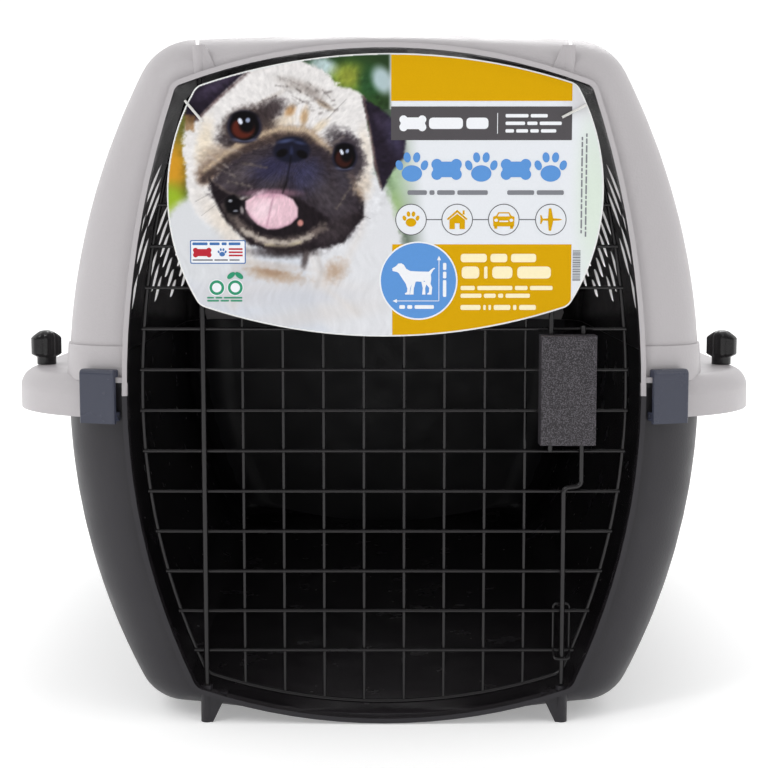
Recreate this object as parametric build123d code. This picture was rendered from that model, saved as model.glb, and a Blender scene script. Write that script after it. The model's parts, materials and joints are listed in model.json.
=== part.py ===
"""Two-shell plastic pet carrier with a wire door, built as separate pieces.

Frame: X to the carrier's right as seen from the door, Y from the door to the back, Z up.
The origin is on the floor, at the centre of the whole carrier's footprint. Millimetres.
A "depth" is measured from the door opening's front lip towards the back.
"""
from build123d import *
from math import atan2, cos, hypot, pi, radians, sin, sqrt
import os

# ---- driving dimensions: whole carrier ----
LENGTH = 665.0
WIDTH = 472.0
HEIGHT = 419.0
WALL = 3.0

# ---- shells: each pair is (at the front lip, at the full section) ----
WAIST_Z = 200.0
HALF_WIDTH = (157.0, 197.0)
CROWN_Z = (410.7, HEIGHT)
KEEL_Z = (0.6, 4.0)
ROOF_RADIUS = (348.0, 3600.0)
UPPER_SIDE_RADIUS = (560.0, 419.0)
LOWER_SIDE_RADIUS = (420.0, 391.0)
FLOOR_RADIUS = (349.0, 6000.0)
TOP_CORNER_RADIUS = (9.0, 38.0)
BOTTOM_CORNER_RADIUS = (12.0, 30.0)
LIP_DEPTH = 5.0
BEZEL_DEPTH = 40.0
BODY_DEPTH = 625.0
BEZEL_ANGLES = (0, 16, 34, 58, 90)

# ---- joint between the shells ----
PART_Z = 210.3
JOINT_GAP = 0.3
LIP_PART_Z = 202.4
LIP_OVERLAP_DEPTH = 4.0
BAND_TOP_Z = 232.0
BAND_PROUD = 1.2
FLANGE_TOP_Z = 213.5
SKIRT_BOTTOM_Z = 188.5
FLANGE_FRONT_DEPTH = 5.0
FLANGE_CORNER = 84.0
FLANGE_ROUND = 12.0
FLANGE_INNER_ROUND = 5.0
LOWER_PLATE_INSET = 8.4

# ---- front latches ----
LATCH_ANGLE = 18.0
LATCH_HALF_WIDTH = 11.6
LATCH_INNER = 5.9
LATCH_OUTER = 8.8
LATCH_BOTTOM_Z = 186.0
LATCH_TOP_Z = 218.5
LEDGE_REACH = 4.6
LEDGE_BACK_DEPTH = 32.0
LEDGE_HALF_WIDTH = 181.0
LATCH_NOTCH = 0.8
LATCH_PIN_OUT = 3.0
LATCH_PIN_Z = 190.0
LATCH_PIN_RADIUS = 1.25

# ---- flange bolts and wing nuts ----
BOLT_X = 221.5
BOLT_DEPTHS = {"front": 90.0, "rear": 560.0}
BOLT_RADIUS = 3.9
NUT_HEIGHT = 22.2

# ---- door ----
ROD_X = 109.0
ROD_RADIUS = 1.6
HINGE_ROD_DEPTH = 7.4
LATCH_ROD_DEPTH = 6.4
LATCH_ROD_RADIUS = 1.5
WIRE_RADIUS = 1.0
WIRE_DEPTH = 9.9
FRAME_WIRE_RADIUS = 1.4
FRAME_WIRE_DEPTH = 12.1
FRAME_INSET = 10.4
FRAME_CORNER = 10.0
ROW_PITCH = 24.77
FIRST_ROW_Z = 43.9
ROWS = 15
COLUMN_PITCH = 24.47
COLUMNS = 8

# ---- door latch ----
BOX_X = 110.0
BOX_WIDTH = 33.2
BOX_BOTTOM_Z = 173.0
BOX_TOP_Z = 239.0
BOX_FRONT_DEPTH = -5.5
BOX_BACK_DEPTH = 8.6
BOX_WALL = 2.0
CRANK_OFFSET = 9.6
CRANK_Z = 147.0
ROD_TRAVEL = 12.0
LATCH_LOW_END_Z = 23.4
LATCH_HIGH_END_Z = 388.8
HINGE_LOW_END_Z = 9.0
HINGE_HIGH_END_Z = 403.0
STUB = 5.0

# ---- rod bosses and feet ----
BOSS_RADIUS = 3.8
BOSS_BOTTOM_Z = 387.6
BOSS_TOP_Z = 409.5
COLLAR_TOP_Z = 23.0
REAR_FOOT_DEPTH = 600.0
SLIT_WIDTH = 2.2
SLIT_DEPTH = 92.0
SLIT_SPLAY = 6.9

# ---- side and rear vents ----
VENT_LENGTH = 34.0
VENT_WIDTH = 10.5
VENT_MIDDLE_DEPTH = 265.0
VENT_MIDDLE_LEAN = 30.0
VENT_LEAN_RATE = 0.2
VENT_LEAN_LIMIT = 66.0
VENT_ROW_STEP = 37.0
VENT_ROW_SLOPE = 0.43
VENT_SPAN_Z = (236.0, 352.0)
VENT_BAYS = ((75.0, 20.0, 11, 329.0), (333.0, 23.5, 10, 271.0))
REAR_VENT_PITCH = 24.0
REAR_VENT_ROWS = (301.5, 339.0)

# ---- carry handle ----
POCKET_X = (-58.0, 14.0)
POCKET_HALF_LENGTH = 104.0
POCKET_FLOOR_Z = 399.0
HANDLE_DEPTH = 312.5
HANDLE_PIVOT_Z = 409.0
HANDLE_ARM = 40.0
HANDLE_PIN_RADIUS = 3.0

# ---- hang card ----
CARD_DEPTH = 2.5
CARD_THICK = 0.6
TIE_X = 112.0
TIE_Z = 371.0

FRONT_Y = -327.0
SIDES = {"left": -1, "right": 1}


def at(depth):
    """Y of a depth behind the front lip."""
    return FRONT_Y + depth


def mix(pair, k):
    return pair[0] + (pair[1] - pair[0]) * k


def bend(pair, k):
    """A radius between two, mixed by curvature."""
    return 1 / ((1 - k) / pair[0] + k / pair[1])


def box(x, y, z):
    """A box from three (low, high) pairs."""
    size = [high - low for low, high in (x, y, z)]
    middle = [(high + low) / 2 for low, high in (x, y, z)]
    return Pos(*middle) * Box(*size)


def rod(start, end, radius):
    """A round bar between two points."""
    axis = Vector(*end) - Vector(*start)
    plane = Plane(origin=start, z_dir=axis)
    return extrude(plane * Circle(radius), axis.length)


def circles_meet(z_a, r_a, x_b, r_b, up):
    """Where a circle centred on x = 0 meets one centred at the waist, at positive x."""
    dx = x_b
    dz = WAIST_Z - z_a
    gap = hypot(dx, dz)
    along = (r_a**2 - r_b**2 + gap**2) / (2 * gap)
    off = sqrt(r_a**2 - along**2)
    points = []
    for sign in (-1, 1):
        x = along * dx / gap - sign * off * dz / gap
        z = z_a + along * dz / gap + sign * off * dx / gap
        points.append((x, z))
    return max(points, key=lambda p: up * p[1])


def arc(centre_x, centre_z, radius, start, end):
    """The short arc about a centre, from one (x, z) point to another."""
    a = atan2(start[1] - centre_z, start[0] - centre_x)
    b = atan2(end[1] - centre_z, end[0] - centre_x)
    turn = (b - a + pi) % (2 * pi) - pi
    middle = a + turn / 2
    mid = (centre_x + radius * cos(middle), centre_z + radius * sin(middle))
    return ThreePointArc(start, mid, end)


def section(k, inset=0.0, corners=None):
    """The barrel-shaped cross section as a flat face: k is 0 at the front lip and 1 at full size."""
    half = mix(HALF_WIDTH, k) - inset
    crown = mix(CROWN_Z, k) - inset
    keel = mix(KEEL_Z, k) + inset
    roof = bend(ROOF_RADIUS, k) - inset
    floor = bend(FLOOR_RADIUS, k) - inset
    upper = bend(UPPER_SIDE_RADIUS, k) - inset
    lower = bend(LOWER_SIDE_RADIUS, k) - inset
    roof_z = crown - roof
    floor_z = keel + floor
    a = circles_meet(roof_z, roof, half - upper, upper, 1)
    b = circles_meet(floor_z, floor, half - lower, lower, -1)
    a_left, b_left = (-a[0], a[1]), (-b[0], b[1])
    waist, waist_left = (half, WAIST_Z), (-half, WAIST_Z)
    outline = Wire([
        *arc(0, roof_z, roof, a_left, a).edges(),
        *arc(half - upper, WAIST_Z, upper, a, waist).edges(),
        *arc(half - lower, WAIST_Z, lower, waist, b).edges(),
        *arc(0, floor_z, floor, b, b_left).edges(),
        *arc(lower - half, WAIST_Z, lower, b_left, waist_left).edges(),
        *arc(upper - half, WAIST_Z, upper, waist_left, a_left).edges(),
    ])
    face = Face(outline)
    top, bottom = corners or (mix(TOP_CORNER_RADIUS, k) - inset, mix(BOTTOM_CORNER_RADIUS, k) - inset)
    high = face.vertices().sort_by(Axis.Y)[-2:]
    face = face.fillet_2d(top, high)
    low = face.vertices().sort_by(Axis.Y)[:2]
    return face.fillet_2d(bottom, low)


def stand(face, depth):
    """A flat section, stood up across the carrier at a depth."""
    return Plane(origin=(0, at(depth), 0), x_dir=(1, 0, 0), z_dir=(0, -1, 0)) * face


def prism(face, low, high):
    """A flat section, extruded from one depth to another."""
    return extrude(stand(face, low), high - low, dir=(0, 1, 0))


def barrel(inset=0.0):
    """The carrier's body as one solid, from behind the lip to the back, inset all round."""
    reach = BEZEL_DEPTH - inset
    front = LIP_DEPTH + BEZEL_DEPTH
    back = BODY_DEPTH - BEZEL_DEPTH
    body = prism(section(1, inset), front, back)
    for middle, way in ((front, -1), (back, 1)):
        faces = []
        for angle in BEZEL_ANGLES:
            k = sin(radians(angle))
            faces.append(stand(section(k, inset), middle + way * reach * cos(radians(angle))))
        body += loft(faces)
    return body


def wall_solid(outer, inner, opening):
    """The whole hollow body with its front opening and lip."""
    lip = prism(section(0), 0, LIP_DEPTH + 0.2)
    return outer + lip - inner - opening


def flange_outline(inset):
    """The flange's plan outline: straight sides, with rounded corners."""
    half = WIDTH / 2 - inset
    low = at(FLANGE_FRONT_DEPTH) + inset
    high = LENGTH / 2 - inset
    face = Rectangle(2 * half, high - low)
    face = Pos(0, (low + high) / 2) * face
    return fillet(face.vertices(), FLANGE_CORNER - inset)


def flange_channel(core):
    """The upper shell's overhanging flange with its skirt."""
    height = FLANGE_TOP_Z - SKIRT_BOTTOM_Z
    outer = extrude(Pos(0, 0, SKIRT_BOTTOM_Z) * flange_outline(0), height)
    outer = fillet(outer.faces().sort_by(Axis.Z)[-1].edges(), FLANGE_ROUND)
    inner = extrude(Pos(0, 0, SKIRT_BOTTOM_Z - 5) * flange_outline(WALL), PART_Z - SKIRT_BOTTOM_Z + 5)
    inner = fillet(inner.faces().sort_by(Axis.Z)[-1].edges(), FLANGE_INNER_ROUND)
    below = box((-WIDTH, WIDTH), (-LENGTH, LENGTH), (0, PART_Z))
    return outer - inner - core - (barrel(-JOINT_GAP) & below) - latch_notches()


def latch_frame(side):
    """Origin on the bezel under a front latch: x along the bezel, z outward, y up."""
    a = radians(LATCH_ANGLE)
    x = HALF_WIDTH[0] + (HALF_WIDTH[1] - HALF_WIDTH[0]) * sin(a)
    depth = LIP_DEPTH + BEZEL_DEPTH * (1 - cos(a))
    outward = (side * sin(a), -cos(a), 0)
    along = (cos(a), side * sin(a), 0)
    return Plane(origin=(side * x, at(depth), 0), x_dir=along, z_dir=outward)


def front_ledge(low, high):
    """The shelf round the front corners, for the latches to grip."""
    reach = (-LEDGE_HALF_WIDTH, LEDGE_HALF_WIDTH)
    return barrel(-LEDGE_REACH) & box(reach, (at(0.6), at(LEDGE_BACK_DEPTH)), (low, high))


def latch_notches():
    """The gaps in the flange and skirt that the front latches sit in."""
    notches = []
    for side in SIDES.values():
        outer_end = side * (LATCH_HALF_WIDTH + LATCH_NOTCH)
        along = tuple(sorted((outer_end, -side * 40)))
        notches.append(latch_frame(side) * box(along, (SKIRT_BOTTOM_Z - 10, FLANGE_TOP_Z + 10), (-2, 20)))
    return notches[0] + notches[1]


def boss_with_gusset(x, low, high, gusset, up):
    """A round rod boss with a triangular web towards the middle of the carrier."""
    side = 1 if x > 0 else -1
    y = at(HINGE_ROD_DEPTH)
    post = rod((x, y, low), (x, y, high), BOSS_RADIUS)
    tip, root = (high, low) if up else (low, high)
    web = Plane.XZ.offset(-y - 3) * make_face(Polyline(
        (x, tip), (x - side * BOSS_RADIUS, tip), (x - side * gusset, root), (x, root), close=True))
    return post + extrude(web, 6)


def leaf(angle):
    """A slot with pointed ends, turned from level by an angle."""
    half, side = VENT_LENGTH / 2, VENT_WIDTH / 2
    upper = ThreePointArc((-half, 0), (0, side), (half, 0))
    lower = ThreePointArc((half, 0), (0, -side), (-half, 0))
    return Rot(0, 0, angle) * make_face([upper, lower])


def side_vents():
    """Leaf-shaped slots through both side walls: two bays of sloping rows that lean back more and more."""
    slots = []
    for start, pitch, columns, height in VENT_BAYS:
        for column in range(columns):
            depth = start + column * pitch
            lean = VENT_MIDDLE_LEAN + (depth - VENT_MIDDLE_DEPTH) * VENT_LEAN_RATE
            lean = min(lean, VENT_LEAN_LIMIT)
            reach = VENT_LENGTH / 2 * cos(radians(lean))
            for row in range(-3, 5):
                z = height - column * pitch * VENT_ROW_SLOPE + row * VENT_ROW_STEP
                if VENT_SPAN_Z[0] + reach < z < VENT_SPAN_Z[1] - reach:
                    plane = Plane(origin=(-WIDTH / 2, at(depth), z), x_dir=(0, 1, 0), z_dir=(1, 0, 0))
                    slots.append(extrude(plane * leaf(90 - lean), WIDTH))
    return slots


def rear_vents():
    """Two rows of upright leaf-shaped slots through the rear wall."""
    slots = []
    for z in REAR_VENT_ROWS:
        for column in range(-3, 4):
            plane = Plane(origin=(column * REAR_VENT_PITCH, at(BODY_DEPTH - 60), z), x_dir=(1, 0, 0),
                          z_dir=(0, 1, 0))
            slots.append(extrude(plane * leaf(90), 80))
    return slots


def handle_pocket():
    """The recess in the roof for the handle, as (outside, inside) solids."""
    y = (at(HANDLE_DEPTH) - POCKET_HALF_LENGTH, at(HANDLE_DEPTH) + POCKET_HALF_LENGTH)
    inside = box(POCKET_X, y, (POCKET_FLOOR_Z, HEIGHT + 10))
    inside = fillet(inside.edges().filter_by(Axis.Z), 10)
    outside = box([POCKET_X[0] - WALL, POCKET_X[1] + WALL], [y[0] - WALL, y[1] + WALL],
                  (POCKET_FLOOR_Z - WALL, HEIGHT - 2))
    outside = fillet(outside.edges().filter_by(Axis.Z), 10 + WALL)
    for end in y:
        way = -1 if end == y[0] else 1
        outside += rod((0, end, HANDLE_PIVOT_Z), (0, end + way * 9, HANDLE_PIVOT_Z), 7)
    return outside, inside


def handle_pin_spans():
    """Start and end Y of the two handle pivot pins."""
    y = at(HANDLE_DEPTH)
    return [(y + way * (POCKET_HALF_LENGTH - 9), y + way * (POCKET_HALF_LENGTH + 7)) for way in (-1, 1)]


def bolt_places():
    """Name and (x, y) of every flange bolt."""
    return {f"{end}_{side}": (sign * BOLT_X, at(depth))
            for end, depth in BOLT_DEPTHS.items() for side, sign in SIDES.items()}


def rod_hole(x, depth, radius, low, high):
    return rod((x, at(depth), low), (x, at(depth), high), radius)


def make_shells():
    """The upper and the lower shell."""
    outer = barrel()
    inner = barrel(WALL)
    opening = prism(section(0, WALL), -1, LIP_DEPTH + WALL + 1)
    body = wall_solid(outer, inner, opening)
    wide = (-WIDTH, WIDTH)
    core = barrel(WALL / 2)

    band = barrel(-BAND_PROUD) & box(wide, (at(2.5), LENGTH), (PART_Z, BAND_TOP_Z))
    band += front_ledge(PART_Z, FLANGE_TOP_Z)
    top = body & box(wide, (-LENGTH, LENGTH), (PART_Z, HEIGHT + 50))
    top += band - inner - opening
    lip_strip = prism(section(0) - section(0, WALL), 0, LIP_OVERLAP_DEPTH)
    top += lip_strip & box(wide, (-LENGTH, LENGTH), (LIP_PART_Z, PART_Z + 1))
    top += flange_channel(core)
    pocket_outside, pocket_inside = handle_pocket()
    top += pocket_outside
    top -= pocket_inside
    for start, end in handle_pin_spans():
        top -= rod((0, start, HANDLE_PIVOT_Z), (0, end, HANDLE_PIVOT_Z), HANDLE_PIN_RADIUS)
    for slot in side_vents() + rear_vents():
        top -= slot

    bottom = body & box(wide, (-LENGTH, LENGTH), (-10, PART_Z - JOINT_GAP))
    bottom -= box(wide, (at(-1), at(LIP_OVERLAP_DEPTH + JOINT_GAP)), (LIP_PART_Z - JOINT_GAP, PART_Z))
    plate = extrude(Pos(0, 0, PART_Z - JOINT_GAP - WALL) * flange_outline(LOWER_PLATE_INSET), WALL)
    bottom += plate - core
    rim = front_ledge(PART_Z - JOINT_GAP - WALL, PART_Z - JOINT_GAP)
    channel = extrude(Pos(0, 0, PART_Z - 10) * flange_outline(-5), 20)
    channel -= extrude(Pos(0, 0, PART_Z - 10) * flange_outline(LOWER_PLATE_INSET), 20)
    channel -= latch_notches()
    bottom += rim - inner - opening - channel - box(wide, (at(-1), at(LIP_OVERLAP_DEPTH + JOINT_GAP)),
                                                    (0, PART_Z))

    for side in SIDES.values():
        frame = latch_frame(side)
        lug = box((-6, 6), (LATCH_PIN_Z - 2.5, LATCH_PIN_Z + 2.5), (-4, LATCH_PIN_OUT))
        lug += rod((-6, LATCH_PIN_Z, LATCH_PIN_OUT), (6, LATCH_PIN_Z, LATCH_PIN_OUT), 2.5)
        bottom += frame * lug - inner
        bottom -= frame * rod((-9, LATCH_PIN_Z, LATCH_PIN_OUT), (9, LATCH_PIN_Z, LATCH_PIN_OUT),
                              LATCH_PIN_RADIUS + 0.05)
        x = side * ROD_X
        top += boss_with_gusset(x, BOSS_BOTTOM_Z, BOSS_TOP_Z, 14, True) - \
            prism(section(0, WALL), -1, LIP_DEPTH + 30)
        slit = box((-SLIT_WIDTH / 2, SLIT_WIDTH / 2), (-1, SLIT_DEPTH), (BOSS_TOP_Z, HEIGHT + 5))
        top -= Pos(x, at(0), 0) * Rot(0, 0, -side * SLIT_SPLAY) * slit
        bottom += boss_with_gusset(x, 0, COLLAR_TOP_Z - 4, 13, False)
        bottom += rod((x, at(REAR_FOOT_DEPTH), 0), (x, at(REAR_FOOT_DEPTH), 9), BOSS_RADIUS + 1.5)
        depth = HINGE_ROD_DEPTH if side < 0 else LATCH_ROD_DEPTH
        bottom += rod_hole(x, depth, 3.4, 10, COLLAR_TOP_Z)
        radius = ROD_RADIUS + 0.06 if side < 0 else LATCH_ROD_RADIUS + 0.25
        top -= rod_hole(x, depth, radius, BOSS_BOTTOM_Z - 5, BOSS_TOP_Z - 4)
        bottom -= rod_hole(x, depth, radius, 5, COLLAR_TOP_Z + 1)
    for x, y in bolt_places().values():
        hole = rod((x, y, PART_Z - 20), (x, y, FLANGE_TOP_Z + 1), BOLT_RADIUS + 0.4)
        top -= hole
        bottom -= hole
    return top, bottom


def make_handle():
    """The bail handle, lying folded in the roof recess."""
    y = at(HANDLE_DEPTH)
    half = POCKET_HALF_LENGTH - 1.0
    grip = Pos(-HANDLE_ARM, y, HANDLE_PIVOT_Z - 0.5) * Box(17, 2 * half, 12)
    handle = grip
    for way in (-1, 1):
        low, high = sorted((way * half, way * (half - 11)))
        handle += box((-HANDLE_ARM, 0), (y + low, y + high), (HANDLE_PIVOT_Z - 6, HANDLE_PIVOT_Z + 5.5))
        handle += rod((0, y + low, HANDLE_PIVOT_Z), (0, y + high, HANDLE_PIVOT_Z), 6)
    rounded = handle.edges().filter_by(Axis.Y).filter_by(lambda e: e.length > 150)
    handle = fillet(rounded, 3.5)
    for start, end in handle_pin_spans():
        handle -= rod((0, start, HANDLE_PIVOT_Z), (0, end, HANDLE_PIVOT_Z), HANDLE_PIN_RADIUS + 0.05)
    return handle


def make_handle_pins():
    pins = [rod((0, start, HANDLE_PIVOT_Z), (0, end, HANDLE_PIVOT_Z), HANDLE_PIN_RADIUS)
            for start, end in handle_pin_spans()]
    return Compound(children=pins)


def frame_face():
    """The door's outline along the middle of its perimeter wire."""
    return section(0, FRAME_INSET, corners=(FRAME_CORNER, FRAME_CORNER))


def make_perimeter_wire():
    path = stand(frame_face(), FRAME_WIRE_DEPTH).outer_wire()
    start = path.edges()[0]
    plane = Plane(origin=start @ 0, z_dir=start % 0)
    return sweep(plane * Circle(FRAME_WIRE_RADIUS), path=path)


def span_of_row(z):
    """Half the door's width at a height, between the middles of its perimeter wire."""
    half = HALF_WIDTH[0] - FRAME_INSET
    radius = UPPER_SIDE_RADIUS[0] if z > WAIST_Z else LOWER_SIDE_RADIUS[0]
    radius -= FRAME_INSET
    side = half - radius + sqrt(radius**2 - (z - WAIST_Z)**2)
    crown = CROWN_Z[0] - FRAME_INSET
    roof = ROOF_RADIUS[0] - FRAME_INSET
    cap = sqrt(max(0.0, roof**2 - (z - crown + roof)**2))
    return min(side, cap)


def reach_of_column(x):
    """Lowest and highest Z of the door's perimeter wire at a distance from its middle."""
    roof = ROOF_RADIUS[0] - FRAME_INSET
    floor = FLOOR_RADIUS[0] - FRAME_INSET
    high = CROWN_Z[0] - FRAME_INSET - roof + sqrt(roof**2 - x**2)
    low = KEEL_Z[0] + FRAME_INSET + floor - sqrt(floor**2 - x**2)
    return low, high


def row_heights():
    return [FIRST_ROW_Z + ROW_PITCH * i for i in range(ROWS)]


def make_horizontal_wires():
    wires = []
    for z in row_heights():
        half = span_of_row(z) + 1.0
        wires.append(rod((-half, at(WIRE_DEPTH), z), (half, at(WIRE_DEPTH), z), WIRE_RADIUS))
    return Compound(children=wires)


def make_vertical_wires():
    wires = []
    y = at(WIRE_DEPTH + 2 * WIRE_RADIUS - 0.1)
    stop = FRAME_WIRE_RADIUS - 0.1
    for i in range(COLUMNS):
        x = (i - (COLUMNS - 1) / 2) * COLUMN_PITCH
        low, high = reach_of_column(x)
        wires.append(rod((x, y, low + stop), (x, y, high - stop), WIRE_RADIUS))
    return Compound(children=wires)


def make_hinge_rod():
    """The rod that the door turns on, with rounded ends."""
    ends = (HINGE_LOW_END_Z, HINGE_HIGH_END_Z)
    bar = rod((-ROD_X, at(HINGE_ROD_DEPTH), ends[0]), (-ROD_X, at(HINGE_ROD_DEPTH), ends[1]), ROD_RADIUS)
    return chamfer(bar.edges().filter_by(GeomType.CIRCLE), 0.5)


def crank(sign, tip_z):
    """A latch rod: a straight stretch through the box, a crank for the finger, and the bolt end."""
    middle = (BOX_BOTTOM_Z + BOX_TOP_Z) / 2
    x = BOX_X + sign * CRANK_OFFSET
    y = at(LATCH_ROD_DEPTH)
    reach = middle - CRANK_Z
    far = middle + sign * ((BOX_TOP_Z - BOX_BOTTOM_Z) / 2 + STUB)
    near = middle - sign * reach
    path = FilletPolyline((x, y, far), (x, y, near), (ROD_X, y, near - sign * 1.5), (ROD_X, y, tip_z),
                          radius=3.4)
    plane = Plane(origin=path @ 0, z_dir=path % 0)
    bar = sweep(plane * Circle(LATCH_ROD_RADIUS), path=path)
    return chamfer(bar.edges().filter_by(GeomType.CIRCLE).sort_by(Axis.Z)[0 if sign > 0 else -1], 0.5)


def rod_collar(sign):
    """The ring on a latch rod that its spring pushes on."""
    x = BOX_X + sign * CRANK_OFFSET
    gap = BOX_WALL + 0.5 + ROD_TRAVEL
    z = BOX_BOTTOM_Z + gap if sign > 0 else BOX_TOP_Z - gap
    y = at(LATCH_ROD_DEPTH)
    ring = rod((x, y, z), (x, y, z + sign * 2), 2.35)
    return ring - rod((x, y, z - 5), (x, y, z + 5), LATCH_ROD_RADIUS)


def latch_spring(sign):
    """The spring round a latch rod, from its collar to the far wall of the box."""
    x = BOX_X + sign * CRANK_OFFSET
    near = BOX_WALL + ROD_TRAVEL + 3.2
    far = BOX_WALL + 0.8
    low = BOX_BOTTOM_Z + (near if sign > 0 else far)
    high = BOX_TOP_Z - (far if sign > 0 else near)
    wire = 0.4
    mean = 2.0
    coil = Helix(pitch=6.4, height=high - low - 2 * wire, radius=mean)
    plane = Plane(origin=coil @ 0, z_dir=coil % 0)
    spring = sweep(plane * Circle(wire), path=coil, is_frenet=True)
    return Pos(x, at(LATCH_ROD_DEPTH), low + wire) * spring


def latch_posts():
    """Places of the two screw posts that join the latch cover to its back plate."""
    return [(BOX_X, z) for z in (BOX_BOTTOM_Z + 8, BOX_TOP_Z - 8)]


def make_latch_cover():
    """The box over the latch springs, open at the back, with two screw posts."""
    x = (BOX_X - BOX_WIDTH / 2, BOX_X + BOX_WIDTH / 2)
    y = (at(BOX_FRONT_DEPTH), at(BOX_BACK_DEPTH))
    z = (BOX_BOTTOM_Z, BOX_TOP_Z)
    cover = box(x, y, z)
    front = cover.faces().sort_by(Axis.Y)[0]
    cover = fillet(front.edges(), 1.0)
    cover -= box((x[0] + BOX_WALL, x[1] - BOX_WALL), (y[0] + BOX_WALL, y[1] + 1),
                 (z[0] + BOX_WALL, z[1] - BOX_WALL))
    for post_x, post_z in latch_posts():
        cover += rod((post_x, y[0] + 1, post_z), (post_x, at(FRAME_WIRE_DEPTH + 1.6), post_z), 2.9)
        cover -= rod((post_x, y[0] + 4, post_z), (post_x, at(20), post_z), 1.2)
    for sign in (-1, 1):
        rod_x = BOX_X + sign * CRANK_OFFSET
        slot = box((rod_x - 2.0, rod_x + 2.0), (at(LATCH_ROD_DEPTH - 2.0), y[1] + 1), (z[0] - 1, z[1] + 1))
        cover -= slot
    return cover


def make_latch_back_plate():
    y = (at(FRAME_WIRE_DEPTH + 1.6), at(FRAME_WIRE_DEPTH + 3.8))
    plate = box((BOX_X - 12, BOX_X + 12), y, (BOX_BOTTOM_Z + 2, BOX_TOP_Z - 2))
    plate = fillet(plate.edges().filter_by(Axis.Y), 4)
    for x, z in latch_posts():
        plate -= rod((x, y[0] - 1, z), (x, y[1] + 1, z), 1.4)
    return plate


def make_latch_screws():
    screws = []
    back = at(FRAME_WIRE_DEPTH + 3.8)
    for x, z in latch_posts():
        shank = rod((x, back, z), (x, at(1), z), 1.15)
        head = rod((x, back, z), (x, back + 1.8, z), 2.6)
        cross = box((x - 2, x + 2), (back + 1, back + 3), (z - 0.35, z + 0.35))
        cross += box((x - 0.35, x + 0.35), (back + 1, back + 3), (z - 2, z + 2))
        screws.append(shank + head - cross)
    return Compound(children=screws)


def rod_guide(z_far, z_near):
    """A wire loop, welded behind two rows, that holds a latch rod from the front."""
    back = at(WIRE_DEPTH + WIRE_RADIUS + 0.7)
    front = at(LATCH_ROD_DEPTH - LATCH_ROD_RADIUS - 0.9)
    half = 4.9
    near_z = z_near + (5.5 if z_near > z_far else -5.5)
    points = [(ROD_X - half, back, z_far), (ROD_X + half, back, z_far), (ROD_X + half, back, z_near),
              (ROD_X + half, front, near_z), (ROD_X - half, front, near_z), (ROD_X - half, back, z_near)]
    path = FilletPolyline(*points, radius=2.2, close=True)
    edge = path.edges()[0]
    plane = Plane(origin=edge @ 0, z_dir=edge % 0)
    return sweep(plane * Circle(0.8), path=path)


def make_rod_guides():
    rows = row_heights()
    return Compound(children=[rod_guide(rows[1] + 4, rows[0] + 1.5), rod_guide(rows[-5] - 4, rows[-4] + 0.5)])


def make_front_latch(side):
    """A latch that turns on a pin in the lower shell and hooks over the upper shell's ledge."""
    wide = (-LATCH_HALF_WIDTH, LATCH_HALF_WIDTH)
    plate = box(wide, (LATCH_BOTTOM_Z, LATCH_TOP_Z), (LATCH_INNER, LATCH_OUTER))
    hook = box(wide, (FLANGE_TOP_Z + 0.4, LATCH_TOP_Z), (2.6, LATCH_OUTER))
    latch = plate + hook
    outer_top = latch.edges().filter_by(Axis.X).sort_by(lambda e: -e.center().Y - e.center().Z)[0]
    latch = fillet(outer_top, 3.0)
    uprights = latch.edges().filter_by(Axis.Y).group_by(Axis.Z)[-1]
    latch = fillet(uprights, 1.2)
    for way in (-1, 1):
        low, high = sorted((way * LATCH_HALF_WIDTH, way * (LATCH_HALF_WIDTH - 2.6)))
        latch += box((low, high), (LATCH_PIN_Z - 2.6, LATCH_PIN_Z + 2.6), (0.8, LATCH_INNER + 0.5))
    latch -= rod((-20, LATCH_PIN_Z, LATCH_PIN_OUT), (20, LATCH_PIN_Z, LATCH_PIN_OUT), LATCH_PIN_RADIUS)
    return latch_frame(side) * latch


def make_latch_pin(side):
    half = LATCH_HALF_WIDTH - 0.3
    pin = rod((-half, LATCH_PIN_Z, LATCH_PIN_OUT), (half, LATCH_PIN_Z, LATCH_PIN_OUT), LATCH_PIN_RADIUS)
    return latch_frame(side) * pin


def make_wing_nut(x, y, turn):
    """A two-winged plastic nut with a domed top and a blind bore."""
    neck = Pos(0, 0, 3) * Cylinder(6.2, 6)
    body_part = Pos(0, 0, (NUT_HEIGHT + 4.2) / 2) * Cylinder(6.8, NUT_HEIGHT - 4.2)
    nut = neck + body_part
    nut = fillet(nut.faces().sort_by(Axis.Z)[-1].edges(), 3.5)
    wing = box((-9.5, 9.5), (-3.2, 3.2), (5.0, NUT_HEIGHT - 3.4))
    wing = fillet(wing.edges().filter_by(Axis.Y), 2.5)
    nut += wing
    nut -= Pos(0, 0, 7.5) * Cylinder(BOLT_RADIUS + 0.08, 15.2)
    return Pos(x, y, FLANGE_TOP_Z + 0.2) * Rot(0, 0, turn) * nut


def make_flange_bolts():
    """Bolts with square heads below the lower flange."""
    bolts = []
    head_top = PART_Z - JOINT_GAP - WALL - 0.1
    for x, y in bolt_places().values():
        shank = rod((x, y, head_top - 1), (x, y, FLANGE_TOP_Z + 14), BOLT_RADIUS)
        shank = chamfer(shank.edges().filter_by(GeomType.CIRCLE).sort_by(Axis.Z)[-1], 0.8)
        head = box((x - 6.5, x + 6.5), (y - 6.5, y + 6.5), (head_top - 4.5, head_top))
        bolts.append(shank + fillet(head.edges().filter_by(Axis.Z), 1.5))
    return Compound(children=bolts)


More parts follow.
